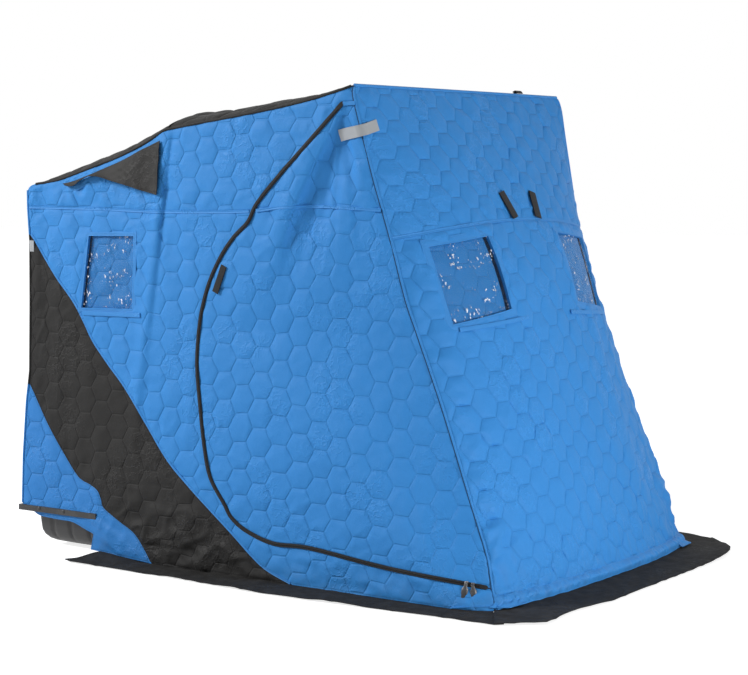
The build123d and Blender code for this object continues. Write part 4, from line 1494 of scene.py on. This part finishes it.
class SHELTER_OT_rear_wall(bpy.types.Operator):
    """Rear wall in three bands"""

    bl_idname = "shelter.rear_wall"
    bl_label = "Rear wall"

    def execute(self, context):
        for name, low, high, paint, slot in (("lower", 0.160, 0.700, blue(), "quilted_blue"),
                                             ("band", 0.702, 1.350, charcoal(), "charcoal_fabric"),
                                             ("upper", 1.352, 1.568, blue(), "quilted_blue")):
            wide, narrow = half_width(low), half_width(high)
            outline = straight((-wide, low), (wide, low), (narrow, high), (-narrow, high), (-wide, low))[:-1]
            panel(f"rear_{name}", outline, rear_surface, [paint, lining()], slot, [f"rear_wall_{name}"],
                  out=-1, seed=int(low * 100), rough=0.9, **quilt())
        return {"FINISHED"}


class SHELTER_OT_roof(bpy.types.Operator):
    """Two roof panels that meet over the middle bow"""

    bl_idname = "shelter.roof"
    bl_label = "Roof"

    def execute(self, context):
        half = TOP_HALF
        for name, low, high, seed in (("rear", REAR + 0.002, KINK - 0.0006, 61),
                                      ("front", KINK + 0.0006, PEAK + 0.001, 62)):
            outline = straight((low, -half), (high, -half), (high, half), (low, half), (low, -half))[:-1]
            panel(f"roof_{name}_cloth", outline, roof_surface, [charcoal(), lining()], "charcoal_fabric",
                  [f"roof_{name}"], seed=seed, shape=sag, rough=0.8, **quilt())
        return {"FINISHED"}


class SHELTER_OT_windows(bpy.types.Operator):
    """Clear windows with sewn frames over quilted covers"""

    bl_idname = "shelter.windows"
    bl_label = "Windows"

    def execute(self, context):
        for side, hand, surface, out in SIDES:
            self.window("side_window", side, SIDE_WINDOW, surface, out, 0.016, (0.024, 0.0), 5 - hand)
            corners = front_flat([(hand * y, z) for y, z in FRONT_WINDOW])
            self.window("front_window", side, corners, front_surface, 1, 0.030, (-0.032, 0.0), 8 - hand)
        return {"FINISHED"}

    def window(self, name, side, corners, surface, out, frame_width, shift, seed):
        """A clear pane in a sewn frame, and the rolled cover that hangs behind it moved by shift."""
        node = f"{side}_{name}"
        name = f"{name}_{side}"
        panel(f"{name}_frame", polygon(grown(corners, frame_width)), surface, [blue_plain(), lining()],
              "quilted_blue", out=out, holes=[polygon(grown(corners, -0.001), 0.008)], step=0.008,
              thick=0.0022, lift=0.0034, puff=0.0004, wrinkle=0.5, seed=seed, coarse=2)
        panel(f"{name}_pane", polygon(grown(corners, 0.004)), surface, [vinyl()], "clear_vinyl", [node],
              out=out, step=0.0055, thick=0.0008, lift=-0.0040, wrinkle=0.6, seed=seed,
              shape=partial(creased, seed=seed), coarse=1)
        moved = [(x + shift[0], y + shift[1]) for x, y in grown(corners, 0.016)]
        panel(f"{name}_cover", polygon(moved), surface, [cover_blue(), lining()], "cover_fabric",
              [f"{node}_cover"], out=out, lift=-0.0150, seed=seed + 3, **dict(quilt(0.8, 1.2), thick=0.008))


class SHELTER_OT_hoods(bpy.types.Operator):
    """Vent hoods that stand off the side walls under the eaves"""

    bl_idname = "shelter.hoods"
    bl_label = "Vent hoods"

    def execute(self, context):
        count, rows = 72, 26
        long, deep = 0.55, 0.16  # pattern's reach along and across
        sewn, free = (resampled(smooth_line(line, 0.004), count) for line in (HOOD_TOP, HOOD_LOW))
        t = np.linspace(0, 1, rows)
        flat = (sewn[None] * (1 - t[:, None, None]) + free[None] * t[:, None, None]).reshape(-1, 2)
        s, t = np.tile(np.linspace(0, 1, count), rows), np.repeat(t, count)
        stand = 0.0135 + t ** 0.8 * (0.006 + 0.020 * np.sin(math.pi * np.clip(s * 1.05, 0, 1)) ** 0.8)
        crease = 0.0035 * np.maximum(0, 1 - np.abs(s - 0.62 - 0.30 * (t - 0.3)) / 0.05) * ease(t, 0.15, 0.6)
        crease = crease - 0.004 * hump(s, 0.86, 0.05) * hump(t, 0.55, 0.35)
        curl = 0.005 * ease(t, 0.86, 1.0) * (1 - ease(s, 0.45, 0.7))
        stand = stand + crease + curl + 0.0012 * noise(s * 16, t * 6, 15)
        rim = np.minimum(np.minimum(t, 1 - t) * deep, np.minimum(s, 1 - s) * long)
        for side, _, surface, out in SIDES:
            face, n = on(surface, flat, out)
            top = face + n * stand[:, None]
            hood = thin_sheet(f"hood_{side}", top, top - n * 0.0030, count, flat, rim, lit_hood_charcoal())
            place(hood, stands_for=[f"{side}_vent_hood"])
            sew(f"hood_strip_{side}", surface, out, shifted(smooth_line(HOOD_LOW[1:6], 0.008), -0.010), 0.008,
                strap(0.022, 0.002), blue_plain())
        return {"FINISHED"}


class SHELTER_OT_skirts(bpy.types.Operator):
    """Skirts that lie on the ice along the front and both sides"""

    bl_idname = "shelter.skirts"
    bl_label = "Skirts"

    def execute(self, context):
        outer = even(SKIRT_EDGE, 0.012)
        right_end, left_end = (int(np.argmin(np.linalg.norm(outer - corner, axis=1)))
                               for corner in SKIRT_CORNERS)
        x = np.linspace(-0.86, corner_at(FOOT, 1), 150)
        side_hem = side_point(x, np.full(len(x), FOOT), -1)[:, :2] + (0, 0.016)
        u = np.linspace(-1, 1, 120)
        front_hem = front_point(u, np.full(len(u), FOOT))[:, :2] - (0.014, 0)

        def ground(a, b):
            return np.stack([a, b, self.height(a, b)], axis=-1)

        def raised(a, b):
            """The front skirt, which laps over the ends of the side ones."""
            return ground(a, b) + (1 - ease(np.abs(b), 0.95, 1.1))[:, None] * (0, 0, 0.0036)

        front_corner = front_hem[0] + (0.0, -0.010)
        right = joined(outer[:right_end + 4], straight(outer[right_end + 3], front_corner)[1:],
                       side_hem[::-1], straight(side_hem[0], outer[0])[1:-1])
        left_hem = side_hem * (1, -1)
        left = joined(outer[left_end - 3:], straight(outer[-1], left_hem[0])[1:], left_hem,
                      straight(left_hem[-1], outer[left_end - 3])[1:-1])
        front = joined(outer[right_end:left_end + 1], straight(outer[left_end], front_hem[-1])[1:],
                       front_hem[::-1][1:], straight(front_hem[0], outer[right_end])[1:-1])
        for name, outline, surface, node in (("skirt_cloth_right", right, ground, "right_skirt"),
                                             ("skirt_cloth_left", left, ground, "left_skirt"),
                                             ("skirt_cloth_front", front, raised, "front_skirt")):
            piece = panel(name, outline, surface, [skirt_cloth(), skirt_cloth()], "skirt_fabric", [node],
                          step=0.014, thick=0.0028, wrinkle=0.35, seed=33, coarse=1, rough=0.2)
        return {"FINISHED"}

    @staticmethod
    def height(x, y):
        """Height of the skirt's face: low waves, and the far front corner turned up."""
        rim = 0.5 + 0.5 * noise(x * 2.3, y * 2.3, 61)
        out = np.maximum(np.maximum(np.abs(y) - 0.86, x - 1.14), 0)
        wave = (0.5 + 0.5 * noise(x * 6.5 + y * 2, y * 6.5, 62)) * 0.010 * np.clip(out / 0.10, 0, 1) * rim
        curl = 0.012 * hump(x, 1.33, 0.10) * hump(y, 0.66, 0.22)
        crease = 0.004 * np.abs(noise(x * 14 + y * 6, y * 12, 63))
        tail = 0.020 * ease(-x, 0.60, 0.92) * (1 - ease(np.abs(y), 0.86, 0.97))
        return 0.0032 + wave + curl + crease + tail


class SHELTER_OT_seams(bpy.types.Operator):
    """Felled seams, welts, corner seams and reflective patches"""

    bl_idname = "shelter.seams"
    bl_label = "Seams and patches"

    def execute(self, context):
        trim = settings()[1]
        felled = [(-0.5, -0.4), (-0.5, 0.10), (-0.40, 0.20), (-0.08, 0.17), (0, 0.10), (0.08, 0.17),
                  (0.40, 0.20), (0.5, 0.10), (0.5, -0.4)]
        seam = [(x * trim.welt, y * 0.011) for x, y in felled]
        deep = [(x, y if y > 0 else 2 * y) for x, y in seam]
        thin = [(x * 0.010, y * 0.010) for x, y in felled]
        for side, hand, surface, out in SIDES:
            split = ZIP_LINE[SEAM_SPLIT][0]
            sew(f"side_seam_{side}", surface, out, cut(SEAM_LINE, -1.305, split - 0.012), 0.0012, seam,
                blue_plain())
            sew(f"door_seam_{side}", surface, out, cut(SEAM_LINE, split + 0.014, corner_at(1.48, 1) - 0.004),
                0.0074, deep, blue_plain(), body=f"{side}_door")
            # light welt along the dark panel's upper edge, and its lower seam
            sew(f"dark_welt_{side}", surface, out, shifted(DARK_TOP_LINE[1:-1], 0.003), 0.0008, thin,
                blue_plain())
            sew(f"dark_low_seam_{side}", surface, out, DARK_LOW_LINE[1:-1], -0.0010, cord_section(0.0022, 8),
                charcoal())
            # corner seam: a thin stitched ridge, and beside it a thin dark strip that is painted shadow in
            # its crease
            z = np.linspace(0.012, 1.948, 240)
            up = np.array([0.6, hand * 0.8, 0.15])
            corner = np.stack([seam_at(z, 3), hand * seam_at(z, 4), z], axis=1)
            lay(f"corner_seam_{side}", corner - up * 0.0006, up, cord_section(0.0042), blue_plain())
            beside = np.stack([corner_at(z, 1) - 0.0065, z], axis=1)
            sew(f"corner_painted_shadow_{side}", surface, out, beside, 0.0022, strap(0.0036, 0.0008), seam_shadow())
            # rear corner and eave
            for name, low, high, paint, slot in (("low", 0.19, 0.715, shaded_tail_blue(), "quilted_blue"),
                                                 ("middle", 0.712, 1.365, charcoal(), "charcoal_fabric"),
                                                 ("high", 1.362, 1.556, blue_plain(), "quilted_blue")):
                z = np.linspace(low, high, 60)
                x = np.interp(z, [0.184, 0.724, 1.372, 1.556], [-1.331, -1.318, -1.312, -1.305])
                lay(f"rear_corner_{name}_{side}", side_point(x, z, hand), (-0.7, hand * 0.7, 0),
                    cord_section(0.0050), paint)
            eave = EAVE_LINE[EAVE_LINE[:, 0] > -1.272] * (1, -hand, 1)
            lay(f"eave_binding_{side}", eave, (-0.1, hand * 0.6, 0.8), cord_section(0.0055), charcoal())
            # reflective patches
            if hand < 0:
                self.patch(f"corner_patch_{side}", surface, hand, out)
            z = 1.315
            near = side_point(np.array([-1.285, -1.308]), np.array([z, z]), hand) + (0, hand * 0.005, 0)
            far = [(x, hand * y, z) for x, y in ((-1.292, 0.815), (-1.300, 0.75), (-1.314, 0.66))]
            path = even([*near, *far], 0.006)
            share = np.linspace(0, 1, len(path))
            back = np.interp(share, [0, 0.18, 0.3, 1], [0, 0.3, 1, 1])
            outward = np.interp(share, [0, 0.18, 0.3, 1], [1, 0.8, 0.1, 0])
            lay(f"rear_patch_{side}", path, np.stack([-back, hand * outward, 0 * share], axis=1),
                strap(0.048, 0.0016), reflective())
            # stitched bands under the windows, and the sewn ends of the door's slit
            front_ends = front_flat([(hand * 0.570, 1.018), (hand * 0.170, 1.046)])
            slit_ends = [(0.388, SLIT + 0.0002), (corner_at(SLIT - 0.0002, 1) - 0.001, SLIT + 0.0002)]
            for name, ends, face, way, width, lift in (
                    ("window_band", [(-0.968, 1.036), (-0.640, 1.038)], surface, out, 0.019, 0.0075),
                    ("slit_head", slit_ends, surface, out, 0.016, 0.0048),
                    ("front_band", front_ends, front_surface, 1, 0.017, 0.0085)):
                sew(f"{name}_{side}", face, way, even(ends, 0.008), lift, strap(width, 0.0016, 0.0006),
                    blue_plain())
        # seams across the body
        u = np.linspace(-0.995, 0.995, 150)
        sew("front_seam", front_surface, 1, front_line(u, front_seam_z(u)), 0.0012, seam, blue_plain())
        path, ups = on(front_surface, front_line(u, 1.952))
        lay("brow_binding", path + (-0.004, 0, 0.004), ups, cord_section(0.0075), blue_plain())
        y = np.linspace(-0.79, 0.79, 120)
        sew("roof_seam", roof_surface, 1, np.stack([np.full(120, KINK), y], axis=1), 0.001, seam, charcoal())
        for z in (0.701, 1.351):
            sew(f"rear_seam_{int(z * 1000)}", rear_surface, -1, np.stack([y, np.full(120, z)], axis=1),
                0.0012, seam, charcoal())
        path = np.stack([np.full(120, REAR + 0.001), y, np.full(120, 1.569)], axis=1)
        lay("rear_top_binding", path, (-0.5, 0, 0.8), cord_section(0.0055), blue_plain())
        return {"FINISHED"}

    def patch(self, name, surface, hand, out):
        """A reflective strip that crosses the corner seam from the door side to the front wall."""
        rows, count, long, deep = 9, 14, 0.13, 0.045
        v, s = np.repeat(np.linspace(0, 1, rows), count), np.tile(np.linspace(0, 1, count), rows)
        height = 1.805 - 0.043 * v  # at the corner
        start = np.stack([0.363 + 0.020 * v, 1.790 - 0.046 * v], axis=1)
        end = np.stack([corner_at(height, 1), height], axis=1)
        side_face, n = on(surface, start + (end - start) * s[:, None], out, 0.0105)
        front_face, m = on(front_surface, front_line(hand * (1 - 0.105 * s), height + 0.020 * s), 1, 0.0105)
        grid, up = (np.hstack([one.reshape(rows, count, 3)[:, :-1], two.reshape(rows, count, 3)[:, 1:]])
                    for one, two in ((side_face, front_face), (n, m)))
        bend = slice(count - 3, count + 1)  # columns by the corner, eased over it
        for _ in range(2):
            for each in (grid, up):
                before, after = each[:, count - 4:count], each[:, count - 2:count + 2]
                each[:, bend] = (before + each[:, bend] * 2 + after) / 4
        grid[:, bend] += up[:, bend] * 0.004
        wide = grid.shape[1]
        run, over = np.linspace(0, long, wide), np.linspace(0, deep, rows)
        flat = np.stack([np.tile(run, rows), np.repeat(over, wide)], axis=1)
        rim = np.minimum(flat, (long, deep) - flat).min(axis=1)
        top, under = grid.reshape(-1, 3), (grid - up * 0.0016).reshape(-1, 3)
        place(thin_sheet(name, top, under, wide, flat, rim, reflective()))


class SHELTER_OT_frame_finish(bpy.types.Operator):
    """Finishes of the sled, clamp rails, pivot plates and bows"""

    bl_idname = "shelter.frame_finish"
    bl_label = "Sled, rails and bows"

    def execute(self, context):
        plastic, rail, steel = moulded_plastic(), rail_black(), bow_enamel()
        self.tub(plastic)
        for side, hand, _, _ in SIDES:
            rail_face = max(abs(corner[1]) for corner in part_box(f"{side}_rail"))
            for index, x in enumerate((-1.22, -1.075)):
                path = [(x, hand * (rail_face + d), RAIL + 0.003) for d in (-0.002, 0.001, 0.0022, 0.003)]
                lay(f"rail_stud_{side}_{index}", path, (0, 0, 1), cord_section(0.0085, 16), rail,
                    swell=[1, 1, 0.8, 0.3])
        for paint, names in ((plastic, ("sled",)), (rail, ("rear_rail", "right_rail", "left_rail")),
                             (steel, ("right_pivot_plate", "left_pivot_plate")),
                             (steel, ("rear_bow", "middle_bow", "peak_bow", "base_bow"))):
            for name in names:
                mesh = frame["nodes"][name].data
                if not mesh.materials:
                    mesh.materials.append(paint)
                for index in range(len(mesh.materials)):
                    mesh.materials[index] = paint
        return {"FINISHED"}

    def tub(self, plastic):
        """The sled: a flanged tub with pressed upright grooves, a rounded foot and three runners."""
        low, high = (np.array(corner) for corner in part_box("sled"))
        middle, half = (low + high) / 2, (high - low) / 2
        top = float(high[2])
        count = 420
        pitch, groove_half, groove_depth = 0.11, 0.007, 0.008
        turn = np.linspace(0, 2 * math.pi, 4 * count, endpoint=False)

        def ring(z, inset, groove):
            """The tub's outline at height z, set in from its flange, with a share of the grooves' depth."""
            a, b, r = half[0] - inset, half[1] - inset, max(0.075 - 0.6 * inset, 0.03)
            c, s = np.cos(turn), np.sin(turn)
            square = np.clip(np.stack([c, s], axis=1) * 1.42, -1, 1) * (a - r, b - r)
            line = even(square + np.stack([c, s], axis=1) * r, 0.002, True)
            line = line[np.linspace(0, len(line), count, endpoint=False).astype(int)]
            run = np.where(np.abs(line[:, 0]) > a - r * 0.5, line[:, 1], line[:, 0] - 0.02)
            across = np.mod(run + pitch / 2, pitch) - pitch / 2
            inward = groove * groove_depth * hump(across, 0, groove_half) / np.linalg.norm(line, axis=1)
            return np.column_stack([line * (1 - inward[:, None]) + middle[:2], np.full(count, z)])

        inner = ((0.024, 0.30, 0), (0.022, 0.12, 0), (0.034, 0.066, 0), (0.060, 0.052, 0.5),
                 (top - 0.04, 0.040, 0.6), (top - 0.006, 0.034, 0))
        flange = ((top, 0.030, 0), (top, 0.002, 0), (top - 0.002, 0, 0), (top - 0.010, 0, 0),
                  (top - 0.011, 0.018, 0))
        outer = ((top - 0.030, 0.022, 0), (top - 0.050, 0.023, 1), (0.100, 0.026, 1), (0.070, 0.030, 1),
                 (0.048, 0.042, 0.6), (0.030, 0.060, 0.2), (0.018, 0.085, 0), (0.013, 0.12, 0),
                 (0.012, 0.30, 0))
        rings = [ring(*row) for row in (*inner, *flange, *outer)]
        faces = tube_faces(len(rings), count)
        piece = make("sled_tub", np.vstack(rings), faces, [plastic], crease=42, tidy=True)
        place(piece, stands_for=["sled"])
        for index, y in enumerate((-0.42, 0.0, 0.42)):
            x = np.linspace(low[0] + 0.13, high[0] - 0.13, 40)
            end = np.minimum(x - x[0], x[-1] - x)
            path = np.stack([x, np.full(40, y), 0.0125 - 0.0065 * ease(end, 0, 0.05)], axis=1)
            lay(f"sled_runner_{index}", path, (0, 0, 1), [
                (-0.034, 0.004), (-0.028, -0.0055), (0, -0.006), (0.028, -0.0055), (0.034, 0.004)], plastic)


# ------------------------------------------------------------------ camera, lights and floor
class SHELTER_OT_stage(bpy.types.Operator):
    """Camera, soft studio light and a white floor"""

    bl_idname = "shelter.stage"
    bl_label = "Stage"

    def execute(self, context):
        stage = settings()[2]
        scene = context.scene
        scene.view_settings.view_transform = "Standard"
        turn, dip, roll = (math.radians(angle) for angle in (35.242, 4.81, -0.253))
        back = Vector((math.sin(turn) * math.cos(dip), -math.cos(turn) * math.cos(dip), math.sin(dip)))
        right = Vector((math.cos(turn), math.sin(turn), 0))
        up = back.cross(right)
        right, up = right * math.cos(roll) + up * math.sin(roll), up * math.cos(roll) - right * math.sin(roll)
        lens = bpy.data.cameras.new("Camera")
        lens.sensor_width = 36
        lens.lens = 91.81
        lens.clip_end = 200
        camera = stand("Camera", lens)
        camera.rotation_mode = "QUATERNION"
        camera.rotation_quaternion = Matrix((right, up, back)).transposed().to_quaternion()
        camera.location = (4.7134, -6.7245, 1.6068)
        scene.camera = camera

        self.lamp("Key", (-7.0, -6.4, 5.8), 2.4, stage.key)
        self.lamp("Front", (4.7, -0.8, 0.75), 1.3, stage.key * 0.117)
        self.sky(stage.fill)

        made, n, surface = material("White floor")
        glow = n.add("Emission", {"Color": (1, 1, 1, 1), "Strength": n.times(n.seen(), stage.floor)})
        matt = n.add("BsdfPrincipled", {"Base Color": (0.62, 0.62, 0.62, 1), "Roughness": 0.9,
                                        "Specular IOR Level": 0.1})
        both = n.add("AddShader", {0: glow.outputs[0], 1: matt.outputs[0]})
        n.link(both.outputs[0], surface)
        mesh = bpy.data.meshes.new("Floor")
        reach, depth = 40, -0.0006
        mesh.from_pydata([(x * reach, y * reach, depth) for x, y in ((-1, -1), (1, -1), (1, 1), (-1, 1))], [],
                         [(0, 1, 2, 3)])
        mesh.materials.append(made)
        stand("Floor", mesh)
        return {"FINISHED"}

    def lamp(self, name, at, size, power):
        """A square lamp that faces the shelter's middle."""
        light = bpy.data.lights.new(name, "AREA")
        light.shape = "SQUARE"
        light.size = size
        light.energy = power
        lamp = stand(name, light)
        lamp.location = at
        middle = Vector((0.1, 0, 0.9))
        lamp.rotation_mode = "QUATERNION"
        lamp.rotation_quaternion = (middle - Vector(at)).to_track_quat("-Z", "Y")

    def sky(self, strength):
        """White behind the shelter, and even light of the given strength on it."""
        world = bpy.data.worlds.new("Studio")
        bpy.context.scene.world = world
        world.use_nodes = True
        world.node_tree.nodes.clear()
        n = Nodes(world.node_tree)
        seen = n.seen()
        soft = n.add("Background", {"Color": (1, 1, 1, 1), "Strength": strength})
        white = n.add("Background", {"Color": (1, 1, 1, 1), "Strength": 1.0})
        mixed = n.add("MixShader", {0: seen, 1: soft.outputs[0], 2: white.outputs[0]})
        n.link(mixed.outputs[0], n.add("OutputWorld").inputs["Surface"])


STEPS = (SHELTER_OT_side_walls, SHELTER_OT_doors, SHELTER_OT_front_wall, SHELTER_OT_rear_wall,
         SHELTER_OT_roof, SHELTER_OT_windows, SHELTER_OT_hoods, SHELTER_OT_skirts, SHELTER_OT_seams,
         SHELTER_OT_frame_finish, SHELTER_OT_stage)
GROUPS = (ShelterFabric, ShelterTrim, ShelterStage)


class SHELTER_PT_builder(bpy.types.Panel):
    """Lists the shelter's sizes, colours and building steps"""

    bl_idname = "SHELTER_PT_builder"
    bl_label = "Ice Shelter"
    bl_space_type = "VIEW_3D"
    bl_region_type = "UI"
    bl_category = "Shelter"

    def draw(self, context):
        layout = self.layout
        for group_of, title in zip(settings(), ("Fabric", "Trim", "Stage")):
            box = layout.box()
            box.label(text=title)
            for key in group_of.__annotations__:
                box.prop(group_of, key)
        column = layout.column(align=True)
        for step in STEPS:
            column.operator(step.bl_idname, text=step.bl_label)


def register():
    for each in (*GROUPS, *STEPS, SHELTER_PT_builder):
        bpy.utils.register_class(each)
    bpy.types.Scene.shelter_fabric = PointerProperty(type=ShelterFabric)
    bpy.types.Scene.shelter_trim = PointerProperty(type=ShelterTrim)
    bpy.types.Scene.shelter_stage = PointerProperty(type=ShelterStage)


def unregister():
    del bpy.types.Scene.shelter_fabric
    del bpy.types.Scene.shelter_trim
    del bpy.types.Scene.shelter_stage
    for each in (SHELTER_PT_builder, *reversed(STEPS), *reversed(GROUPS)):
        bpy.utils.unregister_class(each)


def main():
    register()
    for step in STEPS:
        family, verb = step.bl_idname.split(".")
        getattr(getattr(bpy.ops, family), verb)()


if __name__ == "__main__":
    main()
